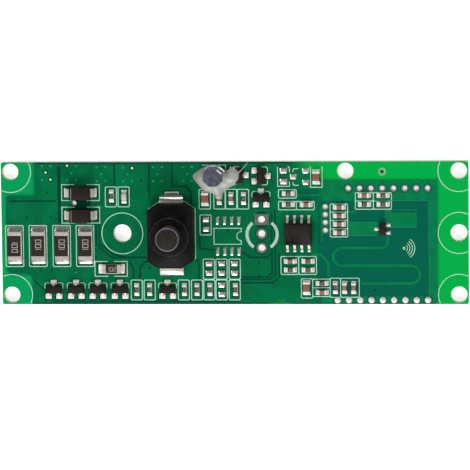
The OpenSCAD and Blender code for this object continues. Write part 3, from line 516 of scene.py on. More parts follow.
def islands(node: str) -> list[Island]:
    """Splits a CAD node into its separate solids.

    Args:
        node: The node's name.

    Returns:
        The solids, ordered from left to right and front to back.
    """
    shape = bmesh.new()
    shape.from_mesh(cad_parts[node].data)
    bmesh.ops.remove_doubles(shape, verts=shape.verts, dist=1e-6)
    waiting = set(shape.verts)
    found = []
    while waiting:
        group = {waiting.pop()}
        edge = list(group)
        while edge:
            for link in edge.pop().link_edges:
                for vert in link.verts:
                    if vert not in group:
                        group.add(vert)
                        edge.append(vert)
        waiting -= group
        found.append(Island([v.co / MM for v in group]))
    shape.free()
    return sorted(found, key=lambda i: (round(i.centre.x, 2), round(i.centre.y, 2)))


def rectangle(low: Point, high: Point) -> Outline:
    """Returns the outline of a rectangle from two corners."""
    return [low, (high[0], low[1]), high, (low[0], high[1])]


def disc(centre: Point, radius: float, sides: int = 24) -> Outline:
    """Returns the outline of a disc."""
    turns = (2 * math.pi * i / sides for i in range(sides))
    return [(centre[0] + radius * math.cos(a), centre[1] + radius * math.sin(a)) for a in turns]


def bow(centre: Point, radius: float, start: float, end: float, steps: int) -> Outline:
    """Returns points on an arc between two angles in degrees."""
    turns = (math.radians(start + (end - start) * i / steps) for i in range(steps + 1))
    return [(centre[0] + radius * math.cos(a), centre[1] + radius * math.sin(a)) for a in turns]


def band(centre: Point, radius: float, width: float, start: float = 0, end: float = 360) -> Outline:
    """Returns the outline of a curved band between two angles in degrees."""
    steps = max(8, int(abs(end - start) / 6))
    outer = bow(centre, radius + width / 2, start, end, steps)
    return outer + bow(centre, radius - width / 2, end, start, steps)


def stroke(path: Outline, width: float, closed: bool = False) -> list[Outline]:
    """Draws a path as one bar per stretch, with square ends that fill its corners.

    Args:
        path: The path's points.
        width: The line's width.
        closed: Whether the last point joins the first.

    Returns:
        The outlines of the bars.
    """
    ends = path[1:] + (path[:1] if closed else [])
    bars = []
    for start, end in zip(path, ends):
        along = (Vector(end) - Vector(start)).normalized() * (width / 2)
        across = Vector((-along.y, along.x))
        first, last = Vector(start) - along, Vector(end) + along
        bars.append([tuple(p) for p in (first - across, last - across, last + across, first + across)])
    return bars


@dataclass
class Film:
    """A flat layer cut from outlines and given a thickness.

    Attributes:
        name: The piece's name.
        finish: Its finish.
        low: Height of its underside in the board's frame.
        thick: Its thickness.
        lands: Outlines that it covers.
        cuts: Outlines taken out of it.
    """

    name: str
    finish: Finish
    low: float
    thick: float
    lands: list[Outline] = field(default_factory=list)
    cuts: list[Outline] = field(default_factory=list)
    body: str = "board"
    slot: str = ""

    def triangles(self) -> tuple[list[Vector], list[tuple[int, ...]]]:
        """Cuts the lands by the cuts.

        Returns:
            The flat points and the triangles that remain.
        """
        outlines = [self.turned(o) for o in self.lands + self.cuts]
        points = [Vector(p) for o in outlines for p in o]
        faces, start = [], 0
        for outline in outlines:
            faces.append(list(range(start, start + len(outline))))
            start += len(outline)
        flat, _, parts, _, _, owners = delaunay_2d_cdt(points, [], faces, 1, 1e-5)
        count = len(self.lands)
        kept = [tuple(p) for p, own in zip(parts, owners) if own and max(own) < count]
        return flat, kept

    @staticmethod
    def turned(outline: Outline) -> Outline:
        """Returns the outline in counter-clockwise order."""
        pairs = zip(outline, outline[1:] + outline[:1])
        area = sum(a[0] * b[1] - b[0] * a[1] for a, b in pairs)
        return outline if area > 0 else outline[::-1]

    def build(self) -> bpy.types.Object:
        """Makes the layer as a closed solid that rides on its body.

        Returns:
            The new piece.
        """
        flat, kept = self.triangles()
        used = sorted({i for part in kept for i in part})
        index = {old: new for new, old in enumerate(used)}
        count = len(used)
        top = self.low + self.thick
        points = [Vector((*flat[i], self.low)) for i in used] + [Vector((*flat[i], top)) for i in used]
        parts = [tuple(index[i] for i in part) for part in kept]
        sides = {(a, b) for p in parts for a, b in zip(p, p[1:] + p[:1])}
        walls = [(a, b, b + count, a + count) for a, b in sorted(sides) if (b, a) not in sides]
        faces = [p[::-1] for p in parts] + [tuple(i + count for i in p) for p in parts] + walls
        piece = self.finish.put(mesh_piece(self.name, points, faces, False))
        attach(piece, self.body)
        report(piece)
        return piece


# Printed layers


@dataclass
class Placing:
    """Places that the printed layers share, read from the CAD solids."""

    resistors: list[Island] = field(default_factory=lambda: islands("current_resistor_bodies"))
    small: list[Island] = field(
        default_factory=lambda: islands("small_resistor_bodies") + islands("small_capacitor_bodies")
    )
    large: list[Island] = field(default_factory=lambda: islands("large_capacitor_bodies"))
    shunt: list[Island] = field(default_factory=lambda: islands("shunt_resistor_body"))
    diodes: list[Island] = field(default_factory=lambda: islands("diode_bodies"))
    transistors: list[Island] = field(default_factory=lambda: islands("transistor_bodies"))
    bare: list[Island] = field(default_factory=lambda: islands("bare_chip_pads"))
    solder: list[Island] = field(default_factory=lambda: islands("chip_solder") + islands("lead_solder"))


@dataclass
class CopperPour:
    """Copper under the mask on the component side: the main pour, the radar section's frame and their gaps."""

    thick: float = 0.03
    gap: float = 0.28
    clearance: float = 0.22
    left_margin: float = 0.85
    edge_margin: float = 0.3
    join_x: float = 57.0
    radar_right: float = 5.5
    radar_back: float = 3.35
    window_right: float = 7.0
    window_back: float = 6.97
    window_front: float = 1.4

    def gaps(self) -> list[Outline]:
        """Returns the isolation lines that divide the main pour."""
        edge = self.edge_margin
        paths = [
            [(left(20.3), back(edge)), (left(20.3), back(4.3))],
            [(left(26.5), back(edge)), (left(26.5), back(6.4))],
            [(left(30.6), back(edge)), (left(30.6), back(4.3)), (left(33), back(4.3)), (left(33.9), back(5.4)),
             (left(33.9), back(8.6))],
            [(left(16.95), back(7.4)), (left(16.95), front(10.7)), (left(19.6), front(8.4)), (left(26.2), front(8.4))],
            [(left(17.5), back(9)), (left(17.5), front(10.9)), (left(19.9), front(8.95)), (left(22.3), front(8.4))],
            [(left(22.8), front(7.5)), (left(23.5), front(6.5)), (left(23.5), front(4.5))],
            [(left(24.7), front(4.5)), (left(24.7), front(6.7)), (left(25.6), front(7.6)), (left(26.8), front(7.6))],
            [(left(4.6), front(5.3)), (left(7.7), front(2.4)), (left(7.7), front(0.6))],
            [(left(8.9), front(0.55)), (left(42), front(0.55))],
            [(left(43.1), front(9.3)), (left(44.3), front(8.4)), (left(47.4), front(8.4)), (left(48.2), front(9.3)),
             (left(48.2), front(16.2))],
            [(left(48.2), front(9.3)), (left(48.2), front(5.6)), (left(47.4), front(4.87)), (left(42.8), front(4.87))],
            [(left(48.8), front(16.9)), (left(48.8), front(5.3)), (left(47.8), front(4.45)), (left(42.8), front(4.45))],
            [(left(49.45), front(8.8)), (left(49.45), front(4.9)), (left(48.3), front(3.85)), (left(42.8), front(3.85))],
            [(left(35.4), front(11.9)), (left(35.4), front(10)), (left(37.7), front(9.7))],
            [(left(34.9), front(8)), (left(35.2), front(6.9)), (left(35.2), front(4.6))],
            [(left(0.85), back(6.9)), (left(9.6), back(6.9))],
        ]
        return [bar for path in paths for bar in stroke(path, self.gap)]

    def clearings(self, places: Placing) -> list[Outline]:
        """Returns the cleared rectangles round the soldered pads."""
        room = self.clearance
        found = []
        for pad in places.solder + places.bare:
            low, high = pad.low, pad.high
            longer = Fillets.stretched(pad) * pad.size.y
            found.append(rectangle((low.x - room, low.y - room), (high.x + room, high.y + room + longer)))
        return found

    def build(self, places: Placing) -> list[bpy.types.Object]:
        """Makes the pour and the loose tracks.

        Args:
            places: The solids that the pour keeps clear of.

        Returns:
            The pieces.
        """
        edge = self.edge_margin
        main = [
            (left(self.left_margin), front(6)), (left(4.4), front(5.6)), (left(5.6), front(4.4)),
            (left(5.7), front(edge)), (left(self.join_x), front(edge)), (left(self.join_x), back(3)),
            (left(51), back(edge)), (left(6.1), back(edge)), (left(6.1), back(6.15)), (left(self.left_margin), back(6.15)),
        ]
        radar = rectangle((left(self.join_x), front(edge)), (right(self.radar_right), back(self.radar_back)))
        window = rectangle(
            (left(self.join_x - 0.6), front(self.window_front)), (right(self.window_right), back(self.window_back))
        )
        columns = [
            rectangle((left(10.1), back(10.8)), (left(10.7), back(0.7))),
            rectangle((left(12.6), back(10.2)), (left(16), back(4.3))),
            rectangle((left(49.2), front(edge)), (left(50.4), front(0.9))),
            rectangle((left(51), back(4.9)), (left(self.join_x - 0.6), back(self.window_back))),
        ]
        cuts = self.gaps() + self.clearings(places) + self.holes() + [window] + columns
        pour = Film("copper_pour", MASKED_COPPER, FACE, self.thick, [main], cuts).build()
        frame_pour = Film("radar_pour", MASKED_LINE, FACE, self.thick, [radar], cuts).build()
        return [pour, frame_pour, self.tracks().build()]

    @staticmethod
    def holes() -> list[Outline]:
        """Returns the rooms round the board's holes and plated barrels."""
        rings = [(left(21.6), 0.0, 1.62), (right(1.7), 0.0, 1.52), (right(21.7), back(1.7), 1.5),
                 (left(13.05), back(7.3), 0.45), (right(15.2), back(1.8), 1.0)]
        rooms = [disc((x, y), r, 48) for x, y, r in rings]
        for node in ("header_barrels", "sensor_barrels", "programming_barrels", "via_rings", "switch_slot_plating"):
            for barrel in islands(node):
                reach = 0.14 if node == "via_rings" else 0.22
                x, y = barrel.centre.x, barrel.centre.y
                if node == "switch_slot_plating":
                    low, high = barrel.low, barrel.high
                    rooms.append(rectangle((low.x - reach, low.y - reach), (high.x + reach, high.y + reach)))
                else:
                    rooms.append(disc((x, y), barrel.size.x / 2 + reach, 32))
        return rooms

    def tracks(self) -> Film:
        """Returns the loose tracks in the cleared zones."""
        runs = [
            [(left(52.7), back(5.95)), (left(59), back(5.95)), (left(59.9), back(6.3)), (left(60.4), back(7.4))],
            [(left(61.75), back(8.9)), (left(63), back(8.9))],
            [(left(62), back(6.6)), (left(63.1), back(6.6))],
            [(left(56.9), front(17.2)), (left(57.1), front(16)), (left(57.1), front(11.3))],
            [(left(55.4), front(8.9)), (left(56.9), front(8.9)), (left(58.2), front(7.4)), (left(58.2), front(5))],
            [(left(62.4), front(5)), (left(62.4), front(4.2))],
        ]
        bars = [bar for run in runs for bar in stroke(run, 0.42)]
        return Film("loose_tracks", MASKED_LINE, FACE, self.thick + 0.006, bars)


@dataclass
class MaskEdgeHighlights:
    """Painted highlights: fine pale lines of mask colour where the mask steps over the edges of the radar section's
    copper, standing for the light that its rounds catch.
    """

    width: float = 0.09
    thick: float = 0.012

    def build(self) -> bpy.types.Object:
        """Makes the painted-highlight lines round the resonator, along the feed strip and inside the frame."""
        bars = []
        pour = CopperPour()
        patch, feed = islands("resonator_patch")[0], islands("feed_strip")[0]
        low, high = patch.low, patch.high
        bars += stroke([(low.x, low.y), (high.x, low.y), (high.x, high.y), (low.x, high.y)], self.width, True)
        for y in (feed.low.y, feed.high.y):
            bars += stroke([(feed.low.x, y), (high.x - 7.2, y)], self.width)
        start, end = right(pour.window_right + 9.5), right(pour.window_right)
        bars += stroke([(start, back(pour.window_back)), (end, back(pour.window_back))], self.width)
        bars += stroke([(end, back(pour.window_back)), (end, front(pour.window_front))], self.width)
        return Film("mask_edge_highlights", MASK_EDGE_HIGHLIGHT, FACE + CopperPour.thick + 0.02, self.thick, bars).build()


@dataclass
class ViaField:
    """Tented vias: pale caps in groups of five, and dark dimples."""

    radius: float = 0.2
    spread: float = 0.78
    groups: tuple[Point, ...] = (
        (8.15, 1.91), (12.65, 1.95), (17.95, 2.1), (22.65, 2.2), (28.0, 2.15), (33.35, 2.15)
    )
    dark: tuple[Point, ...] = (
        (4.5, 9.8), (8.85, 9.8), (8.3, 5.4), (6.9, 19.3), (8.9, 19.3), (12.9, 19.3), (25.1, 3.3), (26.4, 18.9),
        (37.4, 12.6), (45.9, 17.9), (45.9, 20.3), (40.4, 12.2), (51.5, 14.6), (17.6, 8.6), (31.1, 19.9), (66.4, 22.9)
    )

    def build(self) -> list[bpy.types.Object]:
        """Makes the caps and the dimples.

        Returns:
            The pieces.
        """
        offsets = [(0.0, 0.0)] + [(i * self.spread, j * 1.24) for i in (-1, 1) for j in (-1, 1)]
        open_vias = [v.centre for v in islands("via_rings")]
        caps = []
        for group in self.groups:
            for x, y in offsets:
                spot = Vector((left(group[0] + x), back(group[1] + y)))
                if all((spot - v.to_2d()).length > 0.5 for v in open_vias):
                    caps.append(disc(tuple(spot), self.radius, 16))
        caps.append(disc((left(13.2), front(5.7)), self.radius, 16))
        dimples = [disc((left(x), back(y)), self.radius, 16) for x, y in self.dark]
        top = FACE + CopperPour.thick
        return [
            Film("via_caps", VIA_CAP, top, 0.012, caps).build(),
            Film("via_dimples", VIA_DARK, top, 0.006, dimples).build(),
        ]


@dataclass
class Print:
    """Printed outlines of the parts, rings round the holes and the radar mark."""

    line: float = 0.135
    thick: float = 0.02
    ring_radius: float = 3.65
    corner: float = 0.16
    front_row: tuple[float, ...] = (24.03, 26.34, 32.43, 34.8, 37.0, 39.18, 41.5)
    back_row: tuple[float, ...] = (36.94, 39.2, 41.55)
    glue_row: tuple[float, ...] = (36.35, 38.97, 41.05, 43.16)
    lines: list[Outline] = field(default_factory=list)

    def box(self, centre: Point, size: Point) -> None:
        """Adds a closed box with cut corners, its centre measured from the left and front edges."""
        x, y, cut = size[0] / 2, size[1] / 2, self.corner
        ring = []
        for i, j in ((-1, -1), (1, -1), (1, 1), (-1, 1)):
            ends = [(i * (x - cut), j * y), (i * x, j * (y - cut))]
            ring += ends if i * j < 0 else ends[::-1]
        middle = (left(centre[0]), front(centre[1]))
        self.lines += stroke([(middle[0] + a, middle[1] + b) for a, b in ring], self.line, closed=True)

    def path(self, *points: Point) -> None:
        """Adds an open line through the points."""
        self.lines += stroke(list(points), self.line)

    def split_box(self, centre: Point, size: Point, opening: float) -> None:
        """Adds a box that is open in the middle of its long sides."""
        half = (size[0] / 2, size[1] / 2)
        for side in (-1, 1):
            inner = centre[0] + side * opening / 2
            outer = centre[0] + side * half[0]
            low, high = centre[1] - half[1], centre[1] + half[1]
            self.path((inner, high), (outer, high), (outer, low), (inner, low))

    def transistor_marks(self, place: Vector, turn: float) -> None:
        """Adds the two corner brackets beside a transistor's single lead.

        Args:
            place: The transistor's centre.
            turn: The direction of the single lead, in degrees from +Y.
        """
        spin = Matrix.Rotation(math.radians(turn), 2)
        for side in (-1, 1):
            marks = [(side * 0.75, 1.15), (side * 1.35, 1.15), (side * 1.6, 0.9), (side * 1.6, 0.2)]
            self.path(*[tuple(place.to_2d() + spin @ Vector(m)) for m in marks])

    def chips(self, places: Placing) -> None:
        """Adds the boxes of the parts that stand alone."""
        for x in (2.29, 6.49, 10.74, 14.92):
            self.box((x, 10.46), (3.15, 7.35))
        for x in self.front_row:
            self.box((x, 2.56), (1.98, 3.57))
        for x in self.back_row:
            self.box((x, 6.28), (1.98, 3.6))
        for x in self.glue_row:
            self.box((x, 18.77), (2.0, 3.5))
        for x in (19.64, 21.92):
            self.box((x, 19.22), (1.98, 3.55))
        self.box((36.45, 14.18), (1.97, 3.57))
        for x, y in ((51.03, 19.68), (51.02, 17.6), (54.19, 17.6)):
            self.box((x, y), (3.17, 1.5))
        for chip in places.diodes:
            self.split_box((left(14.23), round(chip.centre.y, 2)), (6.74, 2.85), 2.3)
        self.split_box((left(19.5), front(6.35)), (5.75, 2.65), 1.2)

    def groups(self) -> None:
        """Adds the boxes that hold several parts, and those with open sides."""
        self.box((60.12, 14.94), (3.1, 5.85))
        for y in (13.45, 14.94, 16.43):
            self.path((left(58.57), front(y)), (left(61.67), front(y)))
        for x in (64.63, 67.82):
            self.box((x, 18.4), (3.18, 2.95))
        self.path((left(63.04), front(18.4)), (left(69.42), front(18.4)))
        for x in (51.34, 54.5):
            self.box((x, 6.93), (3.13, 3.2))
        self.box((54.37, 2.83), (2.02, 3.45))
        self.box((56.93, 2.94), (3.1, 3.1))
        self.path((left(55.38), front(2.94)), (left(58.48), front(2.94)))
        self.box((59.4, 2.95), (1.84, 3.4))
        self.box((61.98, 2.95), (3.3, 3.4))
        self.path((left(55.15), back(0.95)), (left(55.15), back(4.55)), (left(57.2), back(4.55)),
                  (left(57.2), back(0.95)))
        self.path((left(49.33), back(0.95)), (left(49.33), back(4.35)), (left(51.42), back(4.35)),
                  (left(51.42), back(3.6)))
        self.path((left(51.2), back(0.85)), (left(51.42), back(1.1)), (left(51.42), back(1.8)))
        for y in (1.25, 4.2):
            inward = 0.5 if y < 2 else -0.5
            self.path((left(52.05), back(y + inward)), (left(52.1), back(y + inward / 4)),
                      (left(52.25), back(y)), (left(52.95), back(y)))
        self.path((left(36.04), back(0.55)), (left(40.1), back(0.55)), (left(40.1), back(2.2)))

    def driver(self) -> None:
        """Adds the empty driver's box with the half-round notch."""
        low, high, start, end, middle, notch = front(10.73), front(13.58), left(37.92), left(42.78), front(12.16), 0.8
        self.path((end, middle + notch), (end, high), (start, high), (start, low), (end, low), (end, middle - notch))
        self.lines.append(band((end, middle), notch, self.line, 90, 270))

    def rings(self) -> None:
        """Adds the rings round the mounting holes, cut by the board's edges."""
        centres = [(left(1.7), back(1.7)), (left(1.7), front(1.7)), (right(1.7), back(1.7)), (right(1.7), front(1.7)),
                   (right(1.7), 0.0), (left(21.6), 0.0)]
        limit = rectangle((left(0.12), front(0.12)), (right(0.12), back(0.12)))
        low, high = limit[0], limit[2]
        for centre in centres:
            points = bow(centre, self.ring_radius, 0, 360, 120)
            for start, end in zip(points, points[1:]):
                if all(low[i] < p[i] < high[i] for p in (start, end) for i in (0, 1)):
                    self.lines += stroke([start, end], self.line)

    def switch_outline(self) -> None:
        """Adds the switch's outline, which shows at its corners and right side."""
        centre, half_w, half_l, flat, corner = (left(30.5), 0.0), 4.12, 5.85, 1.95, 4.42
        ring = [(-flat, half_l), (-half_w, corner), (-half_w, -corner), (-flat, -half_l)]
        for side in (1, -1):
            self.path(*[(centre[0] + side * x, centre[1] + y) for x, y in ring])

    def radar_mark(self) -> None:
        """Adds a plain mark of spreading waves beside the antenna."""
        centre = (left(71.6), front(9.98))
        self.lines += [band(centre, 0.19, self.line, 0, 180), band(centre, 0.19, self.line, 180, 360)]
        for step in range(4):
            self.lines.append(band(centre, 0.62 + 0.43 * step, 0.12, -56, 56))

    def sensor_ring(self) -> bpy.types.Object:
        """Makes the thick ring round the sensor holes, broken at its ends."""
        centre = (left(46.48), front(12.45))
        halves = [band(centre, 2.68, 0.54, -56, 51), band(centre, 2.68, 0.54, 129, 236)]
        return Film("sensor_ring_print", RING_INK, self.level, self.thick, halves).build()

    @property
    def level(self) -> float:
        """Returns the height that the ink lies on."""
        return FACE + CopperPour.thick

    def build(self, places: Placing) -> list[bpy.types.Object]:
        """Makes the print.

        Args:
            places: The solids that the boxes go round.

        Returns:
            The pieces.
        """
        self.chips(places)
        self.groups()
        self.driver()
        self.rings()
        self.switch_outline()
        self.radar_mark()
        for place in places.transistors:
            x, y = place.centre.x, place.centre.y
            if y < 0 or (x > left(45) and y < back(5)):
                self.transistor_marks(place.centre, 0)
            elif x > left(45):
                self.transistor_marks(place.centre, -90)
        outlines = Film("printed_outlines", INK, self.level - 0.03, self.thick + 0.03, self.lines).build()
        return [outlines, self.sensor_ring()]


# Marks on parts


class Digit(Enum):
    """Plain figures as sets of the seven strokes a to g."""

    ZERO = "abcdef"
    ONE = "bc"
    TWO = "abged"
    THREE = "abgcd"
    FOUR = "fgbc"


@dataclass
class Codes:
    """The resistors' dark glaze with plain value figures, and the diodes' bands."""

    thick: float = 0.008
    film: float = 0.02
    strokes: dict[str, tuple[Point, Point]] = field(default_factory=lambda: {
        "a": ((0, 1), (1, 1)), "b": ((1, 1), (1, 0.5)), "c": ((1, 0.5), (1, 0)), "d": ((0, 0), (1, 0)),
        "e": ((0, 0.5), (0, 0)), "f": ((0, 1), (0, 0.5)), "g": ((0, 0.5), (1, 0.5)),
    })

    def figure(self, digits: list[Digit], centre: Vector, height: float, turn: float) -> list[Outline]:
        """Draws a row of figures.

        Args:
            digits: The figures.
            centre: The row's middle.
            height: The figures' height.
            turn: The row's direction in degrees.

        Returns:
            The strokes' outlines.
        """
        wide, step = height * 0.55, height * 0.85
        spin = Matrix.Rotation(math.radians(turn), 2)
        start = -((len(digits) - 1) * step + wide) / 2
        bars = []
        for place, digit in enumerate(digits):
            for key in digit.value:
                ends = [Vector((start + place * step + x * wide, (y - 0.5) * height)) for x, y in self.strokes[key]]
                bars += stroke([tuple(centre.to_2d() + spin @ e) for e in ends], height * 0.1)
        return bars

    def glaze(self, name: str, chips: list[Island], end: float, side: float) -> bpy.types.Object:
        """Makes the dark glaze over the ceramic of some resistors.

        Args:
            name: The piece's name.
            chips: The ceramic bodies.
            end: Length left to the metal at each end.
            side: Width left bare along the right or front side.

        Returns:
            The piece.
        """
        lands = []
        for chip in chips:
            low, high = chip.low, chip.high
            if chip.size.y > chip.size.x:
                lands.append(rectangle((low.x, low.y + end), (high.x - side, high.y - end)))
            else:
                lands.append(rectangle((low.x + end, low.y + side), (high.x - end, high.y)))
        return Film(name, GLAZE, chips[0].high.z, self.film, lands).build()

    def build(self, places: Placing) -> list[bpy.types.Object]:
        """Makes the glaze, the figures and the bands.

        Args:
            places: The solids that carry them.

        Returns:
            The pieces.
        """
        hundred = [Digit.ONE, Digit.ZERO, Digit.ZERO]
        thousand = [Digit.ONE, Digit.ZERO, Digit.TWO]
        tens = [Digit.ONE, Digit.ZERO, Digit.THREE]
        large = []
        for place, resistor in enumerate(places.resistors):
            large += self.figure(hundred, resistor.centre, 0.98, 90 if place else -90)
        shunt = places.shunt[0]
        middle = self.figure(thousand, shunt.centre, 0.72, 0)
        small = []
        for chip in islands("small_resistor_bodies"):
            small += self.figure(tens, chip.centre, 0.4, 90 if chip.size.y > chip.size.x else 0)
        bands = []
        for diode in places.diodes:
            low, high = diode.low, diode.high
            bands.append(rectangle((low.x + 0.42, low.y + 0.3), (low.x + 0.56, high.y - 0.3)))
        chips = islands("small_resistor_bodies")
        return [
            self.glaze("current_resistor_glaze", places.resistors, 0.62, 0.15),
            self.glaze("shunt_resistor_glaze", places.shunt, 0.42, 0.1),
            self.glaze("small_resistor_glaze", chips, 0.3, 0.05),
            Film("current_resistor_codes", CODE_INK, places.resistors[0].high.z + self.film, self.thick,
                 large).build(),
            Film("shunt_resistor_code", CODE_INK, shunt.high.z + self.film, self.thick, middle).build(),
            Film("small_resistor_codes", CODE_INK, chips[0].high.z + self.film, self.thick, small).build(),
            Film("diode_bands", BAND_INK, places.diodes[0].high.z, self.thick, bands).build(),
        ]


# Solder and moulded parts


@dataclass
class Fillets:
    """Solder that climbs the ends of chips and the toes of leads, hollow in front and rounded at its sides."""

    steps_out: int = 7
    steps_across: int = 9
    lip: float = 0.05
    pool_rise: float = 0.3

    @staticmethod
    def stretched(island: Island) -> float:
        """Returns the share by which the solder behind a current resistor reaches further than its wedge."""
        return 0.4 if island.size.x > 2.3 and island.centre.y > front(11) else 0.0

    def pool(self, island: Island, points: list[Vector], faces: list[tuple[int, ...]]) -> None:
        """Adds the round pool of solder that covers a pad and a transistor's foot.

        Args:
            island: The plain joint that it stands for.
            points: The mesh's points.
            faces: The mesh's faces.
        """
        TinnedPads(self.pool_rise, power=3.0, fall=0.6, tilt=0.0).hill(island, points, faces)

    def surface(self, out: float, across: float, height: float) -> float:
        """Returns the solder's height at a place, as shares of its reach and half width."""
        climb = (1 - out) ** 2.2 * height
        side = max(0.0, 1 - abs(across) ** 5) ** 0.5
        toe = max(0.0, 1 - out**6) ** 0.5
        return (climb + self.lip) * side * toe

    def one(self, island: Island, points: list[Vector], faces: list[tuple[int, ...]]) -> None:
        """Adds one fillet to the mesh.

        Args:
            island: The plain wedge that it stands for.
            points: The mesh's points.
            faces: The mesh's faces.
        """
        centre, size = island.centre, island.size
        tall = [p for p in island.points if p.z > island.high.z - 0.1 * size.z]
        lean = sum(tall, Vector()) / len(tall) - centre
        lean = Vector((lean.x / max(size.x, 1e-6), lean.y / max(size.y, 1e-6)))
        along = 0 if abs(lean.x) > abs(lean.y) else 1
        sign = -1 if lean[along] > 0 else 1
        reach, width, height = size[along], size[1 - along], size.z - self.lip
        longer = 1 + self.stretched(island)
        base = len(points)
        rows, columns = self.steps_out + 1, self.steps_across + 1
        for level in (0, 1):
            for i in range(rows):
                for j in range(columns):
                    out, across = i / self.steps_out, 2 * j / self.steps_across - 1
                    spot = Vector((0, 0, island.low.z))
                    spot[along] = centre[along] + sign * (out * longer - 0.5) * reach
                    spot[1 - along] = centre[1 - along] + across * width / 2
                    if level:
                        spot.z += self.surface(out, across, height)
                    points.append(spot)
        self.skin(base, rows, columns, (sign > 0) == (along == 0), faces)

    @staticmethod
    def skin(base: int, rows: int, columns: int, straight: bool, faces: list[tuple[int, ...]]) -> None:
        """Joins an upper and a lower grid of points into a closed skin."""
        layer = rows * columns
        made = []
        for i in range(rows - 1):
            for j in range(columns - 1):
                a = base + i * columns + j
                quad = (a, a + columns, a + columns + 1, a + 1)
                made += [tuple(q + layer for q in quad), quad[::-1]]
        rim = [base + i * columns for i in range(rows)]
        rim += [base + (rows - 1) * columns + j for j in range(1, columns)]
        rim += [base + i * columns + columns - 1 for i in range(rows - 2, -1, -1)]
        rim += [base + j for j in range(columns - 2, 0, -1)]
        for a, b in zip(rim, rim[1:] + rim[:1]):
            made.append((a, b, b + layer, a + layer))
        faces += made if straight else [f[::-1] for f in made]

    def build(self, node: str) -> bpy.types.Object:
        """Makes the fillets that replace a CAD node.

        Args:
            node: The node's name.

        Returns:
            The piece.
        """
        points, faces, painted_sheen_slots = [], [], []
        for island in islands(node):
            (self.pool if island.size.z < 0.16 else self.one)(island, points, faces)
            painted_sheen_slots += [int(island.size.x < 2.3)] * (len(faces) - len(painted_sheen_slots))
        piece = SOLDER.put(mesh_piece(f"{node}_drawn", points, faces, True))
        # The second slot holds tin with a painted sheen, used by the small parts' joints.
        piece.data.materials.append(PAINTED_SHEEN_TIN.material())
        piece.data.polygons.foreach_set("material_index", painted_sheen_slots)
        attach(piece, "board")
        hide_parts(node)
        report(piece)
        return piece


@dataclass
class TinnedPads:
    """Pads left without a part: their tin stands in a low rounded hill."""

    rise: float = 0.13
    steps: int = 10
    power: float = 6.0
    fall: float = 0.35
    tilt: float = 0.3

    def hill(self, pad: Island, points: list[Vector], faces: list[tuple[int, ...]]) -> None:
        """Adds one rounded hill to the mesh.

        Args:
            pad: The pad that it covers.
            points: The mesh's points.
            faces: The mesh's faces.
        """
        base, count = len(points), self.steps + 1
        for level in (0, 1):
            for i in range(count):
                for j in range(count):
                    u, v = 2 * i / self.steps - 1, 2 * j / self.steps - 1
                    hill = max(0.0, 1 - abs(u) ** self.power) ** 0.5 * max(0.0, 1 - abs(v) ** self.power) ** 0.5
                    crown = 1 - self.fall * (u * u + v * v) / 2 + self.tilt * v
                    z = pad.low.z + level * hill * self.rise * crown
                    x = pad.centre.x + u * pad.size.x / 2
                    points.append(Vector((x, pad.centre.y + v * pad.size.y / 2, z)))
        Fillets.skin(base, count, count, True, faces)

    def build(self, node: str) -> bpy.types.Object:
        """Makes the hills that replace a node of plain pads.

        Args:
            node: The node's name.

        Returns:
            The piece.
        """
        points, faces = [], []
        for pad in islands(node):
            self.hill(pad, points, faces)
        piece = PAD_TIN.put(mesh_piece(f"{node}_tinned", points, faces, True))
        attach(piece, "board")
        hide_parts(node)
        report(piece)
        return piece


@dataclass
class Lathe:
    """A closed body turned from a profile of radii and heights.

    Attributes:
        name: The piece's name.
        finish: Its finish.
        centres: Where its copies stand.
        profile: Radii and heights in the board's frame, from the top or round a ring.
        ring: Whether the profile closes on itself round a ring.
    """

    name: str
    finish: Finish
    centres: list[Point]
    profile: list[Point]
    ring: bool = False
    body: str = "board"
    slot: str = "solder"
    sides: int = 32

    def build(self) -> bpy.types.Object:
        """Makes the copies as one piece.

        Returns:
            The piece.
        """
        points, faces = [], []
        rows = len(self.profile)
        for x, y in self.centres:
            base = len(points)
            for radius, height in self.profile:
                points += [Vector((*p, height)) for p in disc((x, y), radius, self.sides)]
            for row in range(rows if self.ring else rows - 1):
                for k in range(self.sides):
                    a, b = row * self.sides + k, row * self.sides + (k + 1) % self.sides
                    c, d = (row + 1) % rows * self.sides, self.sides
                    faces.append(tuple(base + i for i in (a, c + k, c + (k + 1) % d, b)))
            if not self.ring:
                faces.append(tuple(range(base, base + self.sides)))
                faces.append(tuple(range(base + (rows - 1) * self.sides, base + rows * self.sides))[::-1])
        piece = self.finish.put(mesh_piece(self.name, points, faces, True))
        piece.data.set_sharp_from_angle(angle=math.radians(50))
        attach(piece, self.body)
        report(piece)
        return piece


@dataclass
class Domes:
    """Round solder joints: tall ones in the filled header holes, low ones on the open vias."""

    drill: float = 0.41
    share: float = 0.86
    ring_top: float = 0.04
    via_radius: float = 0.2
    steps: int = 8

    def cap(self, radius: float, low: float, high: float) -> list[Point]:
        """Returns the profile of a dome from its top to its rim."""
        turns = [math.pi / 2 * (i + 0.3) / (self.steps + 0.3) for i in range(self.steps + 1)]
        return [(radius * math.sin(a), low + (high - low) * math.cos(a) ** 0.9) for a in turns[:-1]] + [(radius, low)]

    def build(self) -> list[bpy.types.Object]:
        """Makes the domes; those of the header replace the CAD solder.

        Returns:
            The pieces.
        """
        joints = islands("header_solder")
        first = joints[0]
        base = FACE + self.ring_top
        profile = self.cap(self.share * first.size.x / 2, base, first.high.z)
        profile += [(self.drill, base - 0.01), (self.drill, first.low.z)]
        # The header domes and the via domes take tin with a painted sheen.
        header = Lathe("header_solder_domes", PAINTED_SHEEN_TIN, [tuple(j.centre.to_2d()) for j in joints], profile).build()
        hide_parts("header_solder")
        vias = [tuple(v.centre.to_2d()) for v in islands("via_rings")]
        low = self.cap(self.via_radius, FACE + 0.03, FACE + 0.13)
        return [header, Lathe("via_domes", PAINTED_SHEEN_TIN, vias, low).build()]


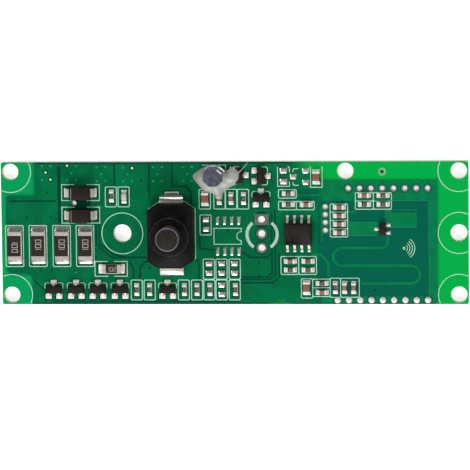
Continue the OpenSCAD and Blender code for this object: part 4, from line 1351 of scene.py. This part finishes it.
@dataclass
class RimHighlight:
    """A ring of light grey at the top edge of a turned part of the switch: a painted highlight on its rounded edge."""

    name: str
    radius: float
    top: float
    body: str
    slot: str
    wire: float = 0.125
    centre: Point = (left(30.5), 0.0)

    def build(self) -> bpy.types.Object:
        """Makes the painted-highlight rim as a ring.

        Returns:
            The piece.
        """
        middle = (self.radius - self.wire, self.top - self.wire)
        turns = [2 * math.pi * i / 12 for i in range(12)]
        profile = [(middle[0] + self.wire * math.cos(a), middle[1] + self.wire * math.sin(a)) for a in turns]
        ring = Lathe(self.name, RIM_HIGHLIGHT, [self.centre], profile[::-1], True, self.body, self.slot, 96)
        return ring.build()


@dataclass
class RoundedCopy:
    """A CAD node with its outer edges rounded, as moulding, glazing or plating leaves them."""

    node: str
    radius: float
    slot: str
    body: str = "board"
    steps: int = 2
    sharpest: float = 35.0

    def build(self) -> bpy.types.Object:
        """Makes the copy, which replaces the node.

        Returns:
            The piece.
        """
        shape = bmesh.new()
        shape.from_mesh(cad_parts[self.node].data)
        bmesh.ops.remove_doubles(shape, verts=shape.verts, dist=1e-6)
        flat = math.radians(2)
        bmesh.ops.dissolve_limit(shape, angle_limit=flat, verts=shape.verts[:], edges=shape.edges[:])
        least = 3 * self.radius * MM
        edges = []
        for edge in shape.edges:
            if len(edge.link_faces) == 2 and edge.is_convex and edge.calc_length() > least:
                if math.degrees(edge.calc_face_angle(0.0)) > self.sharpest:
                    edges.append(edge)
        bmesh.ops.bevel(
            shape, geom=edges, offset=self.radius * MM, segments=self.steps, profile=0.5, affect="EDGES",
            clamp_overlap=False, loop_slide=True,
        )
        bmesh.ops.triangulate(shape, faces=shape.faces[:])
        mesh = bpy.data.meshes.new(f"{self.node}_rounded")
        shape.to_mesh(mesh)
        shape.free()
        piece = bpy.data.objects.new(f"{self.node}_rounded", mesh)
        bpy.context.collection.objects.link(piece)
        finish = NODE_FINISHES.get(self.node, SLOT_FINISHES[self.slot])
        finish.put(piece)
        mesh.polygons.foreach_set("use_smooth", [True] * len(mesh.polygons))
        mesh.set_sharp_from_angle(angle=math.radians(40))
        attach(piece, self.body)
        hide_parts(self.node)
        report(piece)
        return piece


ROUNDED = (
    RoundedCopy("current_resistor_bodies", 0.04, "resistor_glaze"),
    RoundedCopy("shunt_resistor_body", 0.03, "resistor_glaze"),
    RoundedCopy("large_capacitor_bodies", 0.05, "capacitor_ceramic"),
    RoundedCopy("small_capacitor_bodies", 0.05, "capacitor_ceramic"),
    RoundedCopy("diode_bodies", 0.07, "moulding_compound"),
    RoundedCopy("transistor_bodies", 0.04, "moulding_compound"),
    RoundedCopy("controller_body", 0.06, "moulding_compound"),
    RoundedCopy("radar_transistor_body", 0.03, "moulding_compound"),
    RoundedCopy("switch_housing", 0.12, "switch_plastic", steps=3),
    RoundedCopy("switch_base", 0.06, "switch_plastic"),
    RoundedCopy("indicator_lens", 0.05, "indicator_resin"),
)


@dataclass
class Terminals:
    """The switch's sheet terminals, rounded, with the front one pressed a little outwards."""

    front_lean: float = 0.55
    back_lean: float = -0.25
    foot: float = 2.0
    root: float = 4.4

    def build(self) -> bpy.types.Object:
        """Makes the terminals, which replace the CAD sheets.

        Returns:
            The piece.
        """
        piece = RoundedCopy("switch_terminals", 0.05, "terminal_metal").build()
        for vertex in piece.data.vertices:
            spot = vertex.co / MM
            side = 1 if spot.y > 0 else -1
            lean = self.back_lean if side > 0 else self.front_lean
            rise = min(1.0, max(0.0, spot.z - self.foot))
            out = min(1.0, max(0.0, (abs(spot.y) - self.root) / 1.6))
            vertex.co.y += side * lean * rise * out * MM
        return piece


# Glue


@dataclass
class GlueBlob:
    """The hot glue over the coil: a drop with a neck to the right and a drip to the front."""

    outline: tuple[Point, ...] = (
        (34.25, 22.9), (34.6, 23.45), (35.45, 24.05), (36.5, 24.65), (37.5, 24.98), (38.4, 24.95), (39.15, 24.65),
        (39.7, 24.0), (40.1, 23.85), (40.8, 24.2), (41.5, 24.65), (42.17, 24.7), (42.75, 24.42), (42.86, 23.65),
        (42.7, 22.5), (42.14, 21.5), (41.4, 21.1), (40.4, 20.6), (39.86, 20.2), (39.6, 19.5), (39.45, 18.7),
        (38.95, 18.5), (38.4, 18.78), (38.14, 19.5), (37.2, 19.98), (36.3, 20.2), (35.7, 20.75), (34.95, 21.7),
        (34.4, 22.35)
    )
    centre: Point = (38.2, 22.4)
    drum: Point = (38.0, 23.05)
    drum_radius: float = 1.85
    drum_level: float = 2.33
    rings: int = 18
    samples: int = 3
    lumps: tuple[tuple[float, float, float, float, float], ...] = (
        (38.0, 23.05, 2.33, 2.15, 9.0), (36.1, 22.4, 1.5, 1.5, 3.0), (41.5, 23.0, 1.75, 1.6, 4.0),
        (38.5, 20.9, 1.35, 1.5, 3.0), (38.9, 19.3, 0.95, 0.9, 3.0), (40.0, 22.2, 1.6, 1.6, 3.0),
        (36.9, 21.4, 1.4, 1.4, 3.0)
    )

    def edge(self) -> list[Vector]:
        """Returns the outline drawn as a smooth closed curve."""
        points = [Vector((left(x), front(y))) for x, y in self.outline]
        count = len(points)
        curve = []
        for i in range(count):
            a, b, c, d = (points[(i + k) % count] for k in (-1, 0, 1, 2))
            for step in range(self.samples):
                t = step / self.samples
                spot = 2 * b + (c - a) * t + (2 * a - 5 * b + 4 * c - d) * t * t + (3 * (b - c) + d - a) * t**3
                curve.append(spot / 2)
        return curve

    def height(self, spot: Vector) -> float:
        """Returns how high the glue's lumps stand at a place."""
        total = 0.0
        for x, y, top, radius, power in self.lumps:
            distance = (spot - Vector((left(x), front(y)))).length / radius
            total += (top * math.exp(-(distance**power))) ** 4
        near = (spot - Vector((left(self.drum[0]), front(self.drum[1])))).length < self.drum_radius
        return min(total**0.25, self.drum_level if near else 9.0)

    def build(self) -> bpy.types.Object:
        """Makes the blob, which replaces the plain glue solid.

        Returns:
            The piece.
        """
        rim = self.edge()
        heart = Vector((left(self.centre[0]), front(self.centre[1])))
        count = len(rim)
        points = [Vector((*p, FACE)) for p in rim]
        for ring in range(1, self.rings):
            t = ring / self.rings
            for p in rim:
                spot = p.lerp(heart, t**1.3)
                swell = (1 - (1 - min(1.0, t * 2.6)) ** 2.5) ** 0.5
                wobble = 1 + 0.03 * noise.noise(Vector((spot.x, spot.y, 0.0)) * 1.1)
                points.append(Vector((*spot, FACE + 0.02 + self.height(spot) * swell * wobble)))
        points.append(Vector((*heart, FACE + self.height(heart))))
        faces = []
        for ring in range(self.rings - 1):
            for i in range(count):
                a, b = ring * count + i, ring * count + (i + 1) % count
                faces.append((a, b, b + count, a + count))
        last = (self.rings - 1) * count
        faces += [(last + i, last + (i + 1) % count, len(points) - 1) for i in range(count)]
        faces.append(tuple(range(count))[::-1])
        piece = mesh_piece("hot_glue_blob", points, faces, True)
        shape = bmesh.new()
        shape.from_mesh(piece.data)
        bmesh.ops.recalc_face_normals(shape, faces=shape.faces)
        shape.to_mesh(piece.data)
        shape.free()
        GLUE.put(piece)
        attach(piece, "board")
        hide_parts("hot_glue")
        report(piece)
        return piece


@dataclass
class Strand:
    """A round strand that runs through points and thins towards its end.

    Attributes:
        name: The piece's name.
        finish: Its finish.
        slot: Its material slot; not used.
        path: Its points, from the board's left and front edges and above its face.
        radius: Its radius at the start.
        taper: The share of the radius that is lost at the end.
    """

    name: str
    finish: Finish
    slot: str
    path: tuple[tuple[float, float, float], ...]
    radius: float = 0.08
    taper: float = 0.4
    sides: int = 8

    def build(self) -> bpy.types.Object:
        """Makes the strand as a closed tube.

        Returns:
            The piece.
        """
        spots = [Vector((left(x), front(y), FACE + z)) for x, y, z in self.path]
        points, faces = [], []
        for i, spot in enumerate(spots):
            along = (spots[min(i + 1, len(spots) - 1)] - spots[max(i - 1, 0)]).normalized()
            side = along.cross(Vector((0, 0, 1))).normalized()
            up = side.cross(along)
            radius = self.radius * (1 - self.taper * i / len(spots))
            for k in range(self.sides):
                a = 2 * math.pi * k / self.sides
                points.append(spot + (side * math.cos(a) + up * math.sin(a)) * radius)
        for i in range(len(spots) - 1):
            for k in range(self.sides):
                a, b = i * self.sides + k, i * self.sides + (k + 1) % self.sides
                faces.append((a, b, b + self.sides, a + self.sides))
        faces += [tuple(range(self.sides))[::-1], tuple(range(len(points) - self.sides, len(points)))]
        piece = self.finish.put(mesh_piece(self.name, points, faces, True))
        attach(piece, "board")
        report(piece)
        return piece


STRANDS = (
    Strand("glue_thread", THREAD, "glue", (
        (42.1, 23.3, 1.3), (42.5, 23.62, 1.3), (42.9, 23.95, 1.15), (43.3, 24.4, 0.85), (43.75, 24.9, 0.45),
        (44.05, 25.25, 0.1))),
    # The wire ends take tin with a painted sheen.
    Strand("coil_wire_end", PAINTED_SHEEN_TIN, "copper_wire", (
        (38.75, 24.2, 2.42), (39.1, 23.92, 2.44), (39.45, 23.6, 2.36), (39.65, 23.4, 2.1)), 0.13, 0.1),
    Strand("coil_wire_start", PAINTED_SHEEN_TIN, "copper_wire", (
        (39.1, 24.75, 2.2), (39.45, 24.5, 2.36), (39.8, 24.2, 2.2), (40.05, 23.95, 1.8)), 0.13, 0.1),
)


# Button


@dataclass
class ButtonCap:
    """The switch's button, with a turned top edge."""

    radius: float = 0.12

    def build(self) -> bpy.types.Object:
        """Makes the rounded button, which replaces the CAD button."""
        return RoundedCopy("switch_button", self.radius, "button_plastic", "button", 3, 50.0).build()


# Studio


@dataclass
class Studio:
    """A pale floor, a white surround and soft lights, with the key light in front of the board."""

    floor_size: float = 3.0
    floor_colour: Colour = (0.9, 0.9, 0.9)
    floor_lift: float = 0.6
    surround: tuple[float, float] = (0.55, 0.06)

    def floor(self) -> bpy.types.Object:
        """Makes the floor under the board.

        Returns:
            The floor.
        """
        half = self.floor_size / 2 / MM
        corners = [(-half, -half), (half, -half), (half, half), (-half, half)]
        level = CAD_BOX[0].z / MM - 0.02
        floor = mesh_piece("floor", [Vector((x, y, level)) for x, y in corners], [(0, 1, 2, 3)], False)
        tree = Tree("floor_paper")
        paper = tree.node("BsdfDiffuse", {"Color": (*self.floor_colour, 1.0)})
        rays = tree.node("LightPath").outputs
        seen = tree.math("MAXIMUM", rays["Is Camera Ray"], rays["Is Glossy Ray"])
        seen = tree.math("MAXIMUM", seen, rays["Is Transmission Ray"])
        glow = tree.node("Emission", {"Color": (1, 1, 1, 1), "Strength": tree.math("MULTIPLY", seen, self.floor_lift)})
        both = tree.node("AddShader", {0: paper.outputs[0], 1: glow.outputs[0]})
        tree.link(both.outputs[0], tree.output.inputs[0])
        floor.data.materials.append(tree.material)
        return floor

    def world(self) -> None:
        """Lights the scene from all round, less from behind, and shows white where nothing stands."""
        world = bpy.data.worlds.new("surround")
        world.use_nodes = True
        bpy.context.scene.world = world
        nodes, links = world.node_tree.nodes, world.node_tree.links
        nodes.clear()
        rays = nodes.new("ShaderNodeLightPath")
        seen = nodes.new("ShaderNodeMath")
        seen.operation = "MAXIMUM"
        links.new(rays.outputs["Is Camera Ray"], seen.inputs[0])
        links.new(rays.outputs["Is Transmission Ray"], seen.inputs[1])
        axes = nodes.new("ShaderNodeSeparateXYZ")
        links.new(nodes.new("ShaderNodeTexCoord").outputs["Generated"], axes.inputs[0])
        side = nodes.new("ShaderNodeMapRange")
        side.interpolation_type = "SMOOTHSTEP"
        for key, value in zip(("From Min", "From Max", "To Min", "To Max"), (-0.5, 0.6, *self.surround)):
            side.inputs[key].default_value = value
        links.new(axes.outputs[1], side.inputs["Value"])
        level = nodes.new("ShaderNodeMapRange")
        level.inputs["To Max"].default_value = 1.0
        links.new(side.outputs[0], level.inputs["To Min"])
        links.new(seen.outputs[0], level.inputs["Value"])
        ground = nodes.new("ShaderNodeBackground")
        links.new(level.outputs[0], ground.inputs["Strength"])
        output = nodes.new("ShaderNodeOutputWorld")
        links.new(ground.outputs[0], output.inputs[0])

    @staticmethod
    def lamp(name: str, place: Vector, size: float, power: float) -> None:
        """Adds a square soft light that faces the board.

        Args:
            name: The lamp's name.
            place: Its place in metres.
            size: Its side in metres.
            power: Its power in watts.
        """
        data = bpy.data.lights.new(name, "AREA")
        data.size = size
        data.energy = power
        lamp = bpy.data.objects.new(name, data)
        lamp.location = place
        lamp.rotation_euler = (-place).to_track_quat("-Z", "Y").to_euler()
        bpy.context.collection.objects.link(lamp)

    def build(self) -> None:
        """Sets up the floor, the surround and the lamps."""
        self.floor()
        self.world()
        self.lamp("key", Vector((-0.08, -0.42, 0.5)), 0.3, 1.8)
        self.lamp("back_low", Vector((0.0, 0.6, 0.07)), 0.2, 0.5)
        self.lamp("front_box", Vector((0.05, -0.6, 0.2)), 0.3, 1.2)
        self.lamp("left_fill", Vector((-0.5, 0.05, 0.4)), 0.3, 1.1)
        self.lamp("right_fill", Vector((0.5, 0.15, 0.4)), 0.3, 0.7)


@dataclass
class PhotoCamera:
    """The camera of the photograph: nearly overhead, leaning to the back and the right."""

    place: tuple[float, float, float] = (57.42, 81.94, 700.61)
    across: tuple[float, float, float] = (0.99670345, -0.01093748, -0.08039032)
    up: tuple[float, float, float] = (0.00146144, 0.99313075, -0.11700074)
    lens: float = 305.28
    sensor: float = 36.0
    shift: float = 0.0003

    def build(self) -> None:
        """Makes the camera and sets it as the scene's."""
        data = bpy.data.cameras.new("photo_camera")
        data.sensor_width = self.sensor
        data.lens = self.lens
        data.shift_x = self.shift
        data.clip_start, data.clip_end = 0.01, 20.0
        camera = bpy.data.objects.new("photo_camera", data)
        across, up = Vector(self.across), Vector(self.up)
        turn = Matrix((across, up, across.cross(up))).transposed()
        camera.matrix_world = Matrix.Translation(Vector(self.place) * MM) @ turn.to_4x4()
        bpy.context.collection.objects.link(camera)
        bpy.context.scene.camera = camera


def dress_nodes() -> None:
    """Puts a finish on every CAD node, by its material slot."""
    for name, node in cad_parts.items():
        for place, old in enumerate(node.data.materials):
            slot = old.name.split(".")[0]
            finish = NODE_FINISHES.get(name, SLOT_FINISHES.get(slot, COMPOUND))
            node.data.materials[place] = finish.material()


def main() -> None:
    """Builds every class in order."""
    logging.basicConfig(level=logging.INFO, format="%(name)s %(message)s")
    bpy.context.scene.view_settings.view_transform = "Standard"
    dress_nodes()
    places = Placing()
    CopperPour().build(places)
    MaskEdgeHighlights().build()
    ViaField().build()
    Print().build(places)
    Codes().build(places)
    for node in ("chip_solder", "lead_solder"):
        Fillets().build(node)
    for node in ("bare_chip_pads", "bare_driver_pads", "bare_transistor_pads"):
        TinnedPads().build(node)
    Domes().build()
    Film("antenna_via_core", VIA_CORE, 0.1, 1.35, [disc((right(15.2), back(1.8)), 0.31)], slot="solder").build()
    for copy in ROUNDED:
        copy.build()
    Terminals().build()
    GlueBlob().build()
    for strand in STRANDS:
        strand.build()
    ButtonCap().build()
    # Painted highlights on the rounded top edges of the collar and the button.
    RimHighlight("collar_rim_highlight", 3.4, 7.95, "board", "switch_plastic").build()
    RimHighlight("button_rim_highlight", 2.1, 11.45, "button", "button_plastic").build()
    Studio().build()
    PhotoCamera().build()
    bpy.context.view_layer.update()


if __name__ == "__main__":
    main()
